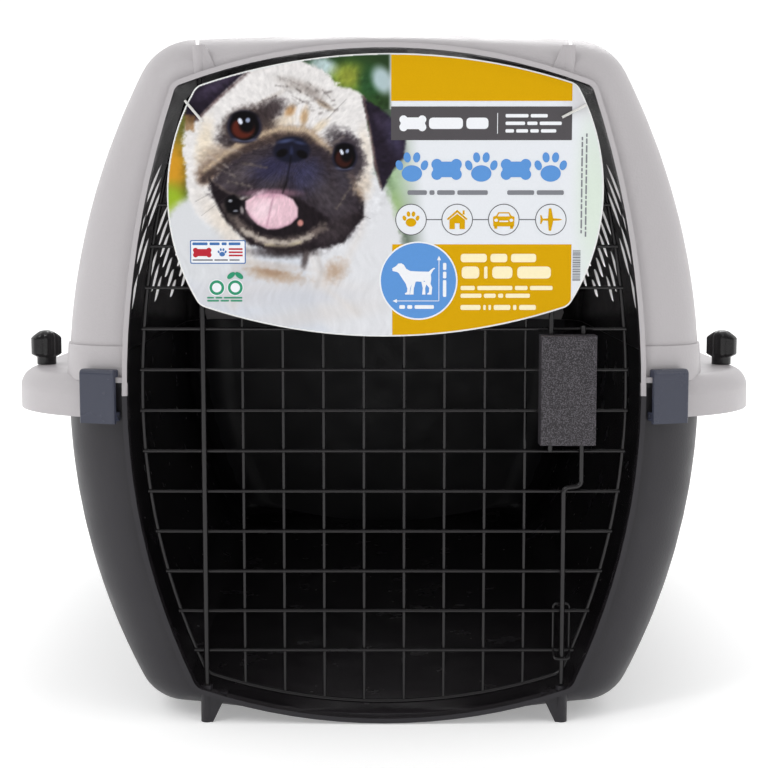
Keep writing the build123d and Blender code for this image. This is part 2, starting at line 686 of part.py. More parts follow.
def make_hang_card():
    """The cardboard hang card on the door: arched top, swelling sides and a curved foot."""
    sketch = make_face([
        ThreePointArc((-110.5, 385.5), (0, 404.6), (113.5, 387)),
        ThreePointArc((113.5, 387), (130, 318), (110, 256)),
        ThreePointArc((110, 256), (0, 238), (-110, 256.5)),
        ThreePointArc((-110, 256.5), (-128.4, 327), (-110.5, 385.5)),
    ])
    sketch = fillet(sketch.vertices(), 9)
    card = prism(sketch, CARD_DEPTH, CARD_DEPTH + CARD_THICK)
    for side in SIDES.values():
        card -= rod((side * TIE_X, at(0), TIE_Z), (side * TIE_X, at(10), TIE_Z), 1.3)
    return card


def make_card_tie(side, slant):
    """A plastic tag tie: a T-bar in front of the card, a filament, and a paddle behind the wires."""
    x = side * TIE_X
    bar_y = at(CARD_DEPTH - 0.9)
    dx, dz = 8 * cos(radians(slant)), 8 * sin(radians(slant))
    bar = rod((x - dx, bar_y, TIE_Z - dz), (x + dx, bar_y, TIE_Z + dz), 0.8)
    paddle_y = at(FRAME_WIRE_DEPTH + 2.2)
    filament = rod((x, bar_y, TIE_Z), (x, paddle_y, TIE_Z), 0.45)
    paddle = box((x - 1.5, x + 1.5), (paddle_y - 0.4, paddle_y + 0.4), (TIE_Z - 5, TIE_Z + 3))
    return bar + filament + paddle


def export(name, shape):
    export_step(shape, f"parts/{name}.step")


def main():
    os.makedirs("parts", exist_ok=True)
    top, bottom = make_shells()
    export("top_shell", top)
    export("bottom_shell", bottom)
    export("carry_handle", make_handle())
    export("handle_pivot_pins", make_handle_pins())
    export("door_perimeter_wire", make_perimeter_wire())
    export("door_horizontal_wires", make_horizontal_wires())
    export("door_vertical_wires", make_vertical_wires())
    export("door_hinge_rod", make_hinge_rod())
    for name, sign, tip_z in (("lower", 1, LATCH_LOW_END_Z), ("upper", -1, LATCH_HIGH_END_Z)):
        export(f"{name}_latch_rod", crank(sign, tip_z))
        export(f"{name}_rod_collar", rod_collar(sign))
        export(f"{name}_latch_spring", latch_spring(sign))
    export("latch_cover", make_latch_cover())
    export("latch_back_plate", make_latch_back_plate())
    export("latch_screws", make_latch_screws())
    export("latch_rod_guides", make_rod_guides())
    for name, side in SIDES.items():
        export(f"front_latch_{name}", make_front_latch(side))
        export(f"front_latch_pin_{name}", make_latch_pin(side))
    for turn, (name, (x, y)) in enumerate(bolt_places().items()):
        export(f"wing_nut_{name}", make_wing_nut(x, y, 35 + 110 * turn))
    export("flange_bolts", make_flange_bolts())
    export("hang_card", make_hang_card())
    export("card_tie_left", make_card_tie(-1, -50))
    export("card_tie_right", make_card_tie(1, 27))


main()
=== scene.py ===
"""Pet transport carrier: looks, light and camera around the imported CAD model."""

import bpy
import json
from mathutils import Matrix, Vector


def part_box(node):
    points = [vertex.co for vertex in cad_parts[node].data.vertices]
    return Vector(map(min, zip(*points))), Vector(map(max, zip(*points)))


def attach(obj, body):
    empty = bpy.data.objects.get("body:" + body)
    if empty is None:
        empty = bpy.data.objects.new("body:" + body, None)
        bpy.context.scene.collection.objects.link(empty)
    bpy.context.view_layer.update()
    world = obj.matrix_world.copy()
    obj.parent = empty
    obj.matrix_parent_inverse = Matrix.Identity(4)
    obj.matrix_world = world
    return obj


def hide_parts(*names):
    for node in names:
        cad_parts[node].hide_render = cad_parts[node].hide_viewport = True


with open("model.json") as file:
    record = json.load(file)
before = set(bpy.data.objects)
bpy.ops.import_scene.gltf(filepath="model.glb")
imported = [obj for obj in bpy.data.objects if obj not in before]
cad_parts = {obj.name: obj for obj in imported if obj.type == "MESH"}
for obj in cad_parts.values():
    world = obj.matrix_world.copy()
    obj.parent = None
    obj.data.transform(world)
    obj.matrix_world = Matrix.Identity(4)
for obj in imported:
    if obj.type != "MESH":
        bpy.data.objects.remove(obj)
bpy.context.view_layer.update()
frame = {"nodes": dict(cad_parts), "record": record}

import json
import math

import bmesh
import bpy
import numpy as np
from mathutils import Vector

MM = 0.001
NODES = frame["nodes"]


# ---------------------------------------------------------------- camera, light and floor
WIRE_BEHIND_LIP = 0.0107
LIP_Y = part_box("door_perimeter_wire")[0].y - WIRE_BEHIND_LIP
CAMERA_DISTANCE = 0.9007
CAMERA_HEIGHT = 0.3044
CAMERA_PITCH = 6.0
CAMERA_LENS = 70.97
STUDIO_LIGHT = 1.15
FRONT_WALL_LIGHT = 0.35
FLOOR_GLOW = 0.3


def make_camera():
    data = bpy.data.cameras.new("camera")
    data.lens = CAMERA_LENS
    data.sensor_width = 36.0
    data.clip_start = 0.05
    data.clip_end = 60.0
    camera = bpy.data.objects.new("camera", data)
    camera.location = (0.0, LIP_Y - CAMERA_DISTANCE, CAMERA_HEIGHT)
    camera.rotation_euler = (math.radians(90.0 - CAMERA_PITCH), 0.0, 0.0)
    bpy.context.scene.collection.objects.link(camera)
    bpy.context.scene.camera = camera


def area_light(name, place, aim, size, watts, tint=(1.0, 1.0, 1.0)):
    data = bpy.data.lights.new(name, "AREA")
    data.shape = "RECTANGLE"
    data.size, data.size_y = size
    data.energy = watts
    data.color = tint
    light = bpy.data.objects.new(name, data)
    light.location = place
    way = Vector(aim) - Vector(place)
    light.rotation_euler = way.to_track_quat("-Z", "Y").to_euler()
    bpy.context.scene.collection.objects.link(light)


def make_world():
    """A white studio whose wall behind the camera is darker, so glossy fronts have something to reflect."""
    world = bpy.data.worlds.new("studio")
    world.use_nodes = True
    bpy.context.scene.world = world
    tree = world.node_tree
    place = tree.nodes.new("ShaderNodeTexCoord")
    split = tree.nodes.new("ShaderNodeSeparateXYZ")
    wall = tree.nodes.new("ShaderNodeMapRange")
    seen = tree.nodes.new("ShaderNodeLightPath")
    strength = tree.nodes.new("ShaderNodeMix")
    background = tree.nodes["Background"]
    background.inputs["Color"].default_value = (1.0, 1.0, 1.0, 1.0)
    wall.interpolation_type = "SMOOTHSTEP"
    wall.inputs["From Min"].default_value = -0.95
    wall.inputs["From Max"].default_value = 0.1
    wall.inputs["To Min"].default_value = FRONT_WALL_LIGHT
    wall.inputs["To Max"].default_value = STUDIO_LIGHT
    strength.inputs["B"].default_value = STUDIO_LIGHT
    tree.links.new(place.outputs["Generated"], split.inputs[0])
    tree.links.new(split.outputs["Y"], wall.inputs["Value"])
    tree.links.new(seen.outputs["Is Camera Ray"], strength.inputs["Factor"])
    tree.links.new(wall.outputs["Result"], strength.inputs["A"])
    tree.links.new(strength.outputs["Result"], background.inputs["Strength"])


def make_studio():
    make_world()
    area_light("key", (-1.3, -1.7, 1.9), (0, -0.2, 0.2), (0.5, 1.3), 13)
    area_light("fill", (1.6, -1.5, 1.2), (0, -0.2, 0.2), (0.4, 1.2), 3)
    area_light("back", (0.4, 2.2, 2.2), (0, 0, 0.2), (1.8, 1.2), 26)
    view = bpy.context.scene.view_settings
    view.view_transform = "Standard"
    view.look = "None"


# ---------------------------------------------------------------- node helpers
class Shader:
    """A Principled material under construction, with object-space texture nodes."""

    def __init__(self, name, **constants):
        self.material = bpy.data.materials.new(name)
        self.material.use_nodes = True
        self.tree = self.material.node_tree
        self.surface = self.tree.nodes["Principled BSDF"]
        for socket, value in constants.items():
            self.surface.inputs[socket.replace("_", " ")].default_value = value
        self.place = self.tree.nodes.new("ShaderNodeTexCoord").outputs["Object"]

    def add(self, kind, inputs=None, **settings):
        node = self.tree.nodes.new(kind)
        for key, value in settings.items():
            setattr(node, key, value)
        for key, value in (inputs or {}).items():
            if hasattr(value, "is_output"):
                self.tree.links.new(value, node.inputs[key])
            else:
                node.inputs[key].default_value = value
        return node

    def noise(self, scale, detail=3.0, rough=0.55):
        node = self.add("ShaderNodeTexNoise", {"Vector": self.place, "Scale": scale,
                                               "Detail": detail, "Roughness": rough})
        return node.outputs["Fac"]

    def cells(self, scale):
        return self.add("ShaderNodeTexVoronoi", {"Vector": self.place, "Scale": scale}).outputs["Distance"]

    def remap(self, value, low, high, to_low, to_high):
        node = self.add("ShaderNodeMapRange", {"Value": value, "From Min": low, "From Max": high,
                                               "To Min": to_low, "To Max": to_high})
        return node.outputs["Result"]

    def math(self, operation, a, b=0.0):
        return self.add("ShaderNodeMath", {0: a, 1: b}, operation=operation).outputs[0]

    def mix(self, factor, a, b, blend="MIX"):
        node = self.add("ShaderNodeMix", data_type="RGBA", blend_type=blend)
        for socket, value in ((node.inputs[0], factor), (node.inputs[6], a), (node.inputs[7], b)):
            if hasattr(value, "is_output"):
                self.tree.links.new(value, socket)
            else:
                socket.default_value = value
        return node.outputs[2]

    def bump(self, height, strength, distance):
        node = self.add("ShaderNodeBump", {"Height": height, "Strength": strength, "Distance": distance})
        return node.outputs["Normal"]

    def drive(self, socket, value):
        self.tree.links.new(value, self.surface.inputs[socket])


def linear(display):
    """Display values from 0 to 255, one or an array, as linear light."""
    c = np.asarray(display, float) / 255.0
    return np.where(c <= 0.04045, c / 12.92, ((c + 0.055) / 1.055) ** 2.4)


def srgb(red, green, blue):
    return (*(float(v) for v in linear((red, green, blue))), 1.0)


def shade(colour, factor):
    return (colour[0] * factor, colour[1] * factor, colour[2] * factor, 1.0)


# ---------------------------------------------------------------- materials
BLACK_SIDES = srgb(38, 35, 38)
# painted shade: the lining's end walls get a darker black than its sides, for the shade deep inside the
# carrier
BLACK_ENDS_PAINTED_SHADE = srgb(19, 17, 19)
# painted light: near-white colour on the vent slit walls, standing in for the light they catch from outside
VENT_WALL_PAINTED_LIGHT = srgb(238, 236, 236)
LINING_GLOSS = 0.20
LINING_FACING = -0.6
END_WALL_FACING = -0.85
PARTING_Z = 0.2101
END_WALL_Y = 0.305
VENT_EDGE_FACING = 0.5
VENT_BAND_MIDDLE = 0.294
VENT_BAND_HALF = 0.062
VENT_END_Y = 0.276


def moulded_plastic(name, colour, rough, grain_scale, grain_depth, spread=0.10, specular=0.4):
    """Moulded plastic: a little colour drift, fine spark-eroded grain, and uneven gloss."""
    s = Shader(name, Specular_IOR_Level=specular)
    drift = s.remap(s.noise(7.0, 4.0), 0.3, 0.7, 0.0, 1.0)
    tone = s.mix(drift, shade(colour, 1 - spread), shade(colour, 1 + spread))
    tone = s.mix(s.remap(s.noise(420.0, 2.0), 0.45, 0.8, 0.0, 0.35), tone, shade(colour, 1 + 2.2 * spread))
    s.drive("Base Color", tone)
    s.drive("Roughness", s.remap(s.noise(38.0, 5.0), 0.3, 0.7, rough - 0.06, rough + 0.07))
    s.drive("Normal", s.bump(s.noise(grain_scale, 2.0, 0.6), 0.6, grain_depth))
    return s


def outward_facing(s):
    """How far a face looks away from the carrier's long middle line, from -1 to 1."""
    normal = s.add("ShaderNodeNewGeometry").outputs["True Normal"]
    spoke = s.add("ShaderNodeVectorMath", {0: s.place, 1: (0.0, 0.0, PARTING_Z)}, operation="SUBTRACT")
    spoke = s.add("ShaderNodeVectorMath", {0: spoke.outputs[0], 1: (1.0, 0.0, 1.0)}, operation="MULTIPLY")
    spoke = s.add("ShaderNodeVectorMath", {0: spoke.outputs[0]}, operation="NORMALIZE")
    facing = s.add("ShaderNodeVectorMath", {0: spoke.outputs[0], 1: normal}, operation="DOT_PRODUCT")
    return facing.outputs["Value"]


def line_shell(s, low):
    """A glossier black lining on the inner faces above a height; the end walls get a darker black as painted
    shade.
    """
    lining = s.math("LESS_THAN", outward_facing(s), LINING_FACING)
    normal = s.add("ShaderNodeNewGeometry").outputs["True Normal"]
    place = s.add("ShaderNodeSeparateXYZ", {0: s.place})
    normal_y = s.add("ShaderNodeSeparateXYZ", {0: normal}).outputs["Y"]
    outward = s.math("MULTIPLY", s.math("SIGN", place.outputs["Y"]), normal_y)
    inward = s.math("LESS_THAN", outward, END_WALL_FACING)
    at_end = s.math("GREATER_THAN", s.math("ABSOLUTE", place.outputs["Y"]), END_WALL_Y)
    end_wall = s.math("MULTIPLY", inward, at_end)
    above = s.math("GREATER_THAN", place.outputs["Z"], low)
    inside = s.math("MULTIPLY", s.math("MAXIMUM", lining, end_wall), above)
    outer = s.surface.inputs["Base Color"].links[0].from_socket
    rough = s.surface.inputs["Roughness"].links[0].from_socket
    # the end walls take the darker black: painted shade
    s.drive("Base Color", s.mix(inside, outer, s.mix(end_wall, BLACK_SIDES, BLACK_ENDS_PAINTED_SHADE)))
    s.drive("Roughness", s.math("SUBTRACT", rough, s.math("MULTIPLY", inside, LINING_GLOSS)))


def upper_shell_material():
    """Light grey outside with fine grain and lighter flecks (partly paint grain, partly painted glints),
    black inside, and the vent slit walls painted near white as painted light.
    """
    s = moulded_plastic("upper_shell_plastic", srgb(178, 174, 176), 0.40, 760.0, 0.00026, 0.02)
    grey = s.surface.inputs["Base Color"].links[0].from_socket
    # lighter flecks: partly the spray paint's grain, partly painted glints
    fleck_and_glint = s.remap(s.cells(1500.0), 0.0, 0.09, 0.35, 0.0)
    place = s.add("ShaderNodeSeparateXYZ", {0: s.place})
    # the vent slit walls in the band are painted near white: painted light
    above_middle = s.math("SUBTRACT", place.outputs["Z"], VENT_BAND_MIDDLE)
    band = s.math("LESS_THAN", s.math("ABSOLUTE", above_middle), VENT_BAND_HALF)
    side = s.math("LESS_THAN", s.math("ABSOLUTE", place.outputs["Y"]), VENT_END_Y)
    edge_on = s.math("LESS_THAN", s.math("ABSOLUTE", outward_facing(s)), VENT_EDGE_FACING)
    vent_wall_painted_light = s.math("MULTIPLY", edge_on, s.math("MULTIPLY", band, side))
    tone = s.mix(vent_wall_painted_light, s.mix(fleck_and_glint, grey, srgb(226, 224, 225)), VENT_WALL_PAINTED_LIGHT)
    s.drive("Base Color", tone)
    line_shell(s, PARTING_Z)
    return s.material


def lower_shell_material():
    """Near-black plastic, satin outside and glossier inside."""
    s = moulded_plastic("lower_shell_plastic", srgb(36, 34, 39), 0.42, 760.0, 0.00016, 0.06)
    line_shell(s, 0.0)
    return s.material


def latch_box_material():
    """Black plastic with a coarse leather-like spark grain; the lighter speckles over it are partly grain
    tone and partly painted glints where the grain catches the light.
    """
    s = moulded_plastic("latch_box_plastic", srgb(26, 23, 27), 0.48, 1500.0, 0.0004, 0.12)
    black = s.surface.inputs["Base Color"].links[0].from_socket
    # lighter speckles: partly grain tone, partly painted glints
    speckle_and_glint = s.remap(s.noise(1500.0, 1.0), 0.44, 0.66, 0.0, 1.0)
    s.drive("Base Color", s.mix(speckle_and_glint, black, srgb(88, 84, 90)))
    return s.material


def card_material(name, colour=None):
    """Coated card: fine ink mottle over a flat ink, or over the painted picture when no colour is given."""
    s = Shader(name, Specular_IOR_Level=0.08)
    ink = colour
    if colour is None:
        ink = s.add("ShaderNodeVertexColor", layer_name="paint").outputs["Color"]
    mottle = s.mix(s.noise(900.0, 2.0), (0.93, 0.93, 0.93, 1.0), (1.0, 1.0, 1.0, 1.0))
    s.drive("Base Color", s.mix(1.0, mottle, ink, "MULTIPLY"))
    s.drive("Roughness", s.remap(s.noise(500.0), 0.3, 0.7, 0.42, 0.52))
    return s.material


def steel_material():
    s = Shader("zinc_steel", Metallic=1.0)
    s.drive("Base Color", s.mix(s.noise(60.0), (0.42, 0.42, 0.43, 1), (0.66, 0.66, 0.67, 1)))
    s.drive("Roughness", s.remap(s.noise(200.0), 0.3, 0.7, 0.25, 0.4))
    return s.material


def nylon_material():
    s = Shader("tie_nylon", Transmission_Weight=0.15, IOR=1.5)
    s.drive("Base Color", s.mix(s.noise(80.0), srgb(214, 212, 208), srgb(240, 239, 236)))
    s.drive("Roughness", s.remap(s.noise(300.0), 0.3, 0.7, 0.3, 0.45))
    return s.material


MATERIALS = {
    "upper_shell": upper_shell_material(),
    "lower_shell": lower_shell_material(),
    "wire": moulded_plastic("coated_wire", srgb(22, 20, 22), 0.22, 260.0, 0.00004, 0.15).material,
    "latch_box": latch_box_material(),
    "clip": moulded_plastic("clip_plastic", srgb(58, 61, 75), 0.28, 700.0, 0.00004, 0.03).material,
    "knob": moulded_plastic("knob_plastic", srgb(16, 14, 16), 0.24, 500.0, 0.00008).material,
    "bolt_plastic": moulded_plastic("bolt_plastic", srgb(44, 42, 46), 0.42, 500.0, 0.00008).material,
    "handle": moulded_plastic("handle_plastic", srgb(66, 65, 71), 0.45, 600.0, 0.00012).material,
    "steel": steel_material(),
    "nylon": nylon_material(),
    "card": card_material("card_stock", srgb(236, 236, 234)),
}


def dress_cad():
    for part in frame["record"]["subparts"]:
        obj = NODES[part["node"]]
        obj.data.materials.clear()
        obj.data.materials.append(MATERIALS[part["material_slot"]])


def make_floor():
    bpy.ops.mesh.primitive_grid_add(x_subdivisions=8, y_subdivisions=8, size=60.0, location=(0, 0, 0))
    floor = bpy.context.object
    floor.name = "floor"
    glow = {"Emission_Color": (1.0, 1.0, 1.0, 1.0), "Emission_Strength": FLOOR_GLOW}
    s = Shader("floor_paper", Roughness=0.8, Specular_IOR_Level=0.1, **glow)
    s.drive("Base Color", s.mix(s.noise(3.0), (0.94, 0.94, 0.94, 1), (0.96, 0.96, 0.96, 1)))
    floor.data.materials.append(s.material)


# ---------------------------------------------------------------- mesh helpers
def mesh_piece(name, bm, body, materials, smooth=False):
    """A bmesh as a piece of the object: it rides on a body and takes a slot's finish."""
    mesh = bpy.data.meshes.new(name)
    bm.to_mesh(mesh)
    bm.free()
    for material in materials:
        mesh.materials.append(material)
    if smooth:
        mesh.shade_smooth()
    obj = bpy.data.objects.new(name, mesh)
    bpy.context.scene.collection.objects.link(obj)
    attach(obj, body)
    return obj


# ---------------------------------------------------------------- hang card: outline
CARD_BORDER = 0.8
BORDER_SOFT = 0.4
BORDER_COLOUR = (226, 229, 233)
PAINT_STEP = 0.6
PAINT_MARGIN = 0.3
INK_LAYER = 0.05


def card_outline():
    """The card's outline as a closed loop of (x, z) in mm, anticlockwise, read from its CAD mesh."""
    bm = bmesh.new()
    bm.from_mesh(NODES["hang_card"].data)
    bmesh.ops.remove_doubles(bm, verts=bm.verts, dist=1e-6)
    front = min(v.co.y for v in bm.verts) + 0.1 * MM
    face_on = {f for f in bm.faces if all(v.co.y < front for v in f.verts)}
    rim = {e for e in bm.edges if sum(f in face_on for f in e.link_faces) == 1}
    start = min((v for e in rim for v in e.verts), key=lambda v: v.co.x)
    loop, here, came = [], start, None
    while here is not start or not loop:
        loop.append((here.co.x / MM, here.co.z / MM))
        onward = next(e for e in here.link_edges if e in rim and e is not came)
        here, came = onward.other_vert(here), onward
    bm.free()
    area = sum(ax * bz - bx * az for (ax, az), (bx, bz) in zip(loop, loop[1:] + loop[:1]))
    return loop if area > 0 else loop[::-1]


def inset(loop, distance):
    """A smooth convex loop moved inward."""
    moved = []
    for (ax, az), (x, z), (bx, bz) in zip(loop[-1:] + loop[:-1], loop, loop[1:] + loop[:1]):
        tx, tz = bx - ax, bz - az
        size = math.hypot(tx, tz)
        moved.append((x - tz / size * distance, z + tx / size * distance))
    return moved


def clip(loop, axis, limit, keep_above):
    """The part of a convex loop on one side of a line of constant x (axis 0) or z (axis 1)."""
    side = 1 if keep_above else -1
    kept = []
    for a, b in zip(loop, loop[1:] + loop[:1]):
        da, db = side * (a[axis] - limit), side * (b[axis] - limit)
        if da >= 0:
            kept.append(a)
        if da * db < 0:
            t = da / (da - db)
            kept.append((a[0] + (b[0] - a[0]) * t, a[1] + (b[1] - a[1]) * t))
    return kept


def depth_inside(loop, x, z):
    """How far each point is inside a convex loop, in mm (negative outside)."""
    depth = np.full(len(x), 1e9)
    for (ax, az), (bx, bz) in zip(loop, loop[1:] + loop[:1]):
        ex, ez = bx - ax, bz - az
        size = math.hypot(ex, ez)
        if size > 1e-6:
            depth = np.minimum(depth, ((z - az) * ex - (x - ax) * ez) / size)
    return depth


OUTLINE = card_outline()
CARD_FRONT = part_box("hang_card")[0].y

# ---------------------------------------------------------------- hang card: the painted pug
CREAM = (226, 223, 222)
MASK = (48, 41, 47)
MASK_BLUE = (44, 44, 76)
EAR = (34, 28, 40)
INK = (9, 7, 10)
TONGUE = (226, 190, 202)
TONGUE_SHADE = (186, 136, 158)
FOREHEAD_TICKS = 46


def value_noise(x, z, seed):
    """Smooth noise from 0 to 1 on a unit lattice."""
    column, row = np.floor(x), np.floor(z)
    u, v = x - column, z - row
    u, v = u * u * (3 - 2 * u), v * v * (3 - 2 * v)

    def corner(a, b):
        h = np.sin(a * 127.1 + b * 311.7 + seed * 74.7) * 43758.5453
        return h - np.floor(h)
    low = corner(column, row) * (1 - u) + corner(column + 1, row) * u
    high = corner(column, row + 1) * (1 - u) + corner(column + 1, row + 1) * u
    return low * (1 - v) + high * v


def layered_noise(x, z, seed, octaves=3):
    total = sum(value_noise(x * 2**i, z * 2**i, seed + i) / 2**i for i in range(octaves))
    return total / (2 - 2 / 2**octaves)


def smooth(low, high, value):
    t = np.clip((value - low) / (high - low), 0, 1)
    return t * t * (3 - 2 * t)


class Painting:
    """Display colours at a cloud of card points (x, z in mm), laid down stroke by stroke."""

    def __init__(self, x, z):
        self.x, self.z = x, z
        self.colour = np.zeros((len(x), 3))
        self.ragged = layered_noise(x * 0.55, z * 0.55, 3) - 0.5

    def wash(self, colour, mask):
        self.colour += (np.array(colour, float) - self.colour) * mask[:, None]

    def blob(self, colour, cx, cz, rx, rz, turn=0.0, soft=0.25, strength=1.0, ragged=0.0):
        """A soft ellipse."""
        a = math.radians(turn)
        dx, dz = self.x - cx, self.z - cz
        u = (dx * math.cos(a) + dz * math.sin(a)) / rx
        v = (dz * math.cos(a) - dx * math.sin(a)) / rz
        reach = np.hypot(u, v) + ragged * self.ragged
        self.wash(colour, strength * smooth(1 + soft, 1 - soft, reach))

    def to_stroke(self, points):
        """The distance from each point to a line through the given points."""
        distance = np.full(len(self.x), 1e9)
        for (ax, az), (bx, bz) in zip(points, points[1:]):
            ex, ez = bx - ax, bz - az
            t = np.clip(((self.x - ax) * ex + (self.z - az) * ez) / (ex * ex + ez * ez), 0, 1)
            distance = np.minimum(distance, np.hypot(self.x - ax - t * ex, self.z - az - t * ez))
        return distance

    def patch(self, colour, points, soft=1.0, strength=1.0, ragged=0.0):
        """A polygon with a soft edge."""
        inside = np.zeros(len(self.x), bool)
        for (ax, az), (bx, bz) in zip(points, points[1:] + points[:1]):
            if az != bz:
                crosses = (az > self.z) != (bz > self.z)
                inside ^= crosses & (self.x < ax + (self.z - az) * (bx - ax) / (bz - az))
        distance = self.to_stroke(points + points[:1])
        signed = np.where(inside, -distance, distance) + ragged * self.ragged
        self.wash(colour, strength * smooth(soft, -soft, signed))

    def line(self, colour, points, width, soft=0.6, strength=1.0, ragged=0.0):
        signed = self.to_stroke(points) - width / 2 + ragged * self.ragged
        self.wash(colour, strength * smooth(soft, -soft, signed))


def paint_garden(p):
    """The blurred background: dark leaves, an orange glow and pale highlights."""
    p.wash((40, 60, 34), np.ones(len(p.x)))
    p.blob((16, 26, 18), -108, 398, 34, 12, 12, 0.8)
    p.blob((104, 104, 46), -121, 366, 9, 22, 0, 0.7)
    p.blob((206, 148, 38), -126, 338, 10, 16, 0, 0.7)
    p.blob((150, 178, 44), -127, 318, 10, 10, 0, 0.6)
    p.blob((56, 92, 40), -26, 384, 20, 18, 0, 0.7)
    p.blob((34, 58, 34), -44, 398, 16, 7, 0, 0.7)
    p.blob((184, 204, 206), -35, 397, 8, 4.5, -20, 0.6, 0.95)
    p.blob((150, 158, 60), -21, 391, 9, 7, 0, 0.7, 0.9)
    p.blob((40, 76, 44), -8, 388, 7, 9, 0, 0.6, 0.9)
    p.blob((196, 214, 224), -1, 389, 5.5, 8, 24, 0.5, 0.85)
    p.blob((146, 176, 132), 9, 334, 11, 24, 0, 0.8)
    p.blob((150, 184, 110), 6, 312, 7, 10, 0, 0.8, 0.8)


def paint_white_field(p):
    """The right half fades from the picture into white, with a faint green cast at the far edge and a light
    grey patch of painted shade at the top right corner.
    """
    fade = smooth(4.0, 27.0, p.x + 0.10 * (p.z - 300.0))
    p.wash((228, 231, 236), np.where(p.z < 372, fade, smooth(2, 5, p.x)))
    p.blob((214, 228, 212), 124, 322, 9, 44, 0, 0.8, 0.8)
    # painted shade: a light grey patch in the card's top right corner
    p.blob((206, 204, 206), 118, 380, 10, 10, 0, 0.8, 0.8)


def paint_coat(p):
    """The body, neck and head in cream fur."""
    p.blob((208, 212, 220), -62, 250, 84, 60, 0, 0.05, 1.0, 0.06)
    p.blob((220, 221, 225), -18, 288, 30, 66, 10, 0.10, 1.0, 0.08)
    p.blob((214, 216, 220), -108, 296, 24, 26, 0, 0.14, 1.0, 0.08)
    p.blob(CREAM, -62, 347, 57, 51, -12, 0.03, 1.0, 0.08)
    p.blob(CREAM, -58, 374, 34, 27, 0, 0.04, 1.0, 0.08)
    p.blob(CREAM, -98, 328, 19, 26, 8, 0.08, 1.0, 0.08)
    p.blob(CREAM, -22, 372, 14, 12, -40, 0.10, 1.0, 0.10)
    p.blob((212, 204, 200), -63, 264, 44, 7, 0, 0.9, 0.5)
    p.blob((172, 140, 110), -65, 275.0, 15, 3.6, -8, 0.9, 0.7, 0.9)
    p.blob((172, 140, 112), -29, 277, 6.5, 5.0, 40, 0.9, 0.7, 0.9)
    p.blob((150, 118, 92), -70, 277.0, 8, 1.6, -10, 0.9, 0.6, 0.8)
    p.blob((196, 188, 184), -66, 280.5, 20, 2.0, -6, 0.8, 0.7)
    p.blob((200, 204, 214), -52, 262, 30, 5, 0, 0.8, 0.6)
    p.line((190, 184, 182), [(-40, 288), (-37, 278), (-40, 268)], 2.0, 2.0, 0.7)
    p.blob((222, 206, 186), -92, 300, 22, 5, -52, 0.8, 0.5)
    p.blob((213, 207, 204), -46, 250, 40, 5, 8, 0.9, 0.5)
    p.line((214, 208, 204), [(-45, 290), (-36, 268), (-16, 252)], 3.0, 3.5, 0.6)
    p.line((216, 208, 202), [(-10, 330), (-14, 300), (-24, 280)], 3.0, 4.0, 0.5)
    p.line((214, 206, 200), [(-84, 288), (-92, 272), (-90, 256)], 3.0, 4.0, 0.5)


def paint_ears(p):
    left = [(-113, 388), (-94, 395), (-75, 400), (-83, 392), (-95, 381), (-105, 371.5),
            (-113, 363), (-117.5, 369)]
    p.patch(EAR, left, 1.2, 1.0, 1.5)
    p.blob((72, 62, 84), -99, 386, 11, 3, 32, 0.9, 0.7)
    p.line((96, 78, 78), [(-80, 393.5), (-95, 380.5), (-110, 366)], 1.6, 1.2, 0.8, 1.5)
    p.patch((134, 100, 62), [(-117, 369), (-111, 368), (-112, 359), (-117, 360)], 1.0, 0.8, 2.0)
    right = [(-13, 379), (-4, 374), (6, 366), (12.5, 357), (12, 345), (4, 334), (-1, 325),
             (-5.5, 338), (-8, 358)]
    p.patch(EAR, right, 1.1, 1.0, 1.5)
    p.blob((66, 60, 86), 6, 356, 4, 11, 20, 0.9, 0.8)
    p.blob((60, 52, 72), -1, 364, 6, 4, -40, 0.9, 0.6)
    p.line((104, 84, 84), [(-12, 379), (-8.4, 360), (-5, 340), (-2, 327)], 1.4, 1.0, 0.8, 1.2)


def paint_brow(p):
    """Wrinkles, dark ticked hairs and tan folds over the eyes and on the cheeks."""
    soft_marks = (
        (-48, 385, 13, 3.4, -18, (168, 160, 155), 0.7), (-41, 380, 9, 2.2, -38, (150, 140, 136), 0.6),
        (-35, 374.5, 5, 1.6, -30, (150, 132, 112), 0.75), (-55.5, 371, 3.6, 2.6, 50, (184, 142, 96), 0.9),
        (-47, 368, 2.2, 5.0, -12, (186, 152, 112), 0.85), (-66, 379, 9, 1.5, 28, (184, 176, 170), 0.6),
        (-38, 362, 6, 2.2, 38, (214, 196, 168), 0.7), (-106, 352, 4.5, 13, -10, (228, 212, 186), 0.7),
        (-99, 347, 10, 4.5, 22, (176, 156, 136), 0.8), (-103, 337, 7, 6, 40, (134, 114, 100), 0.85),
        (-14, 330, 6, 9, 10, (200, 186, 170), 0.75), (-11, 349, 3.4, 12, 8, (226, 214, 198), 0.6),
        (-62, 364, 9, 3.6, 14, (228, 210, 184), 0.7), (-41, 352, 3.5, 6, 24, (206, 178, 142), 0.6))
    for cx, cz, rx, rz, turn, colour, strength in soft_marks:
        p.blob(colour, cx, cz, rx, rz, turn, 0.7, strength, 0.4)
    for i in range(FOREHEAD_TICKS):
        across, drop = (i * 0.618034) % 1.0, (i * i * 0.414214) % 1.0
        x, z = -62 + 34 * across, 391 - 16 * drop - 9 * across
        p.line((96, 88, 86), [(x, z), (x + 1.0 + drop, z - 1.5 + 2.0 * across)], 0.5, 1.0, 0.4, 1.6)
    for x, z, dx, dz in ((-58, 390, 8, -4), (-52, 384, 9, -5), (-45, 388, 7, -6), (-64, 386, 7, -1),
                         (-40, 378, 8, -5), (-54, 380, 7, -4), (-71, 377, 8, 3), (-36, 383, 6, -6)):
        p.line((96, 88, 86), [(x, z), (x + dx, z + dz)], 0.3, 0.7, 0.5, 2.0)


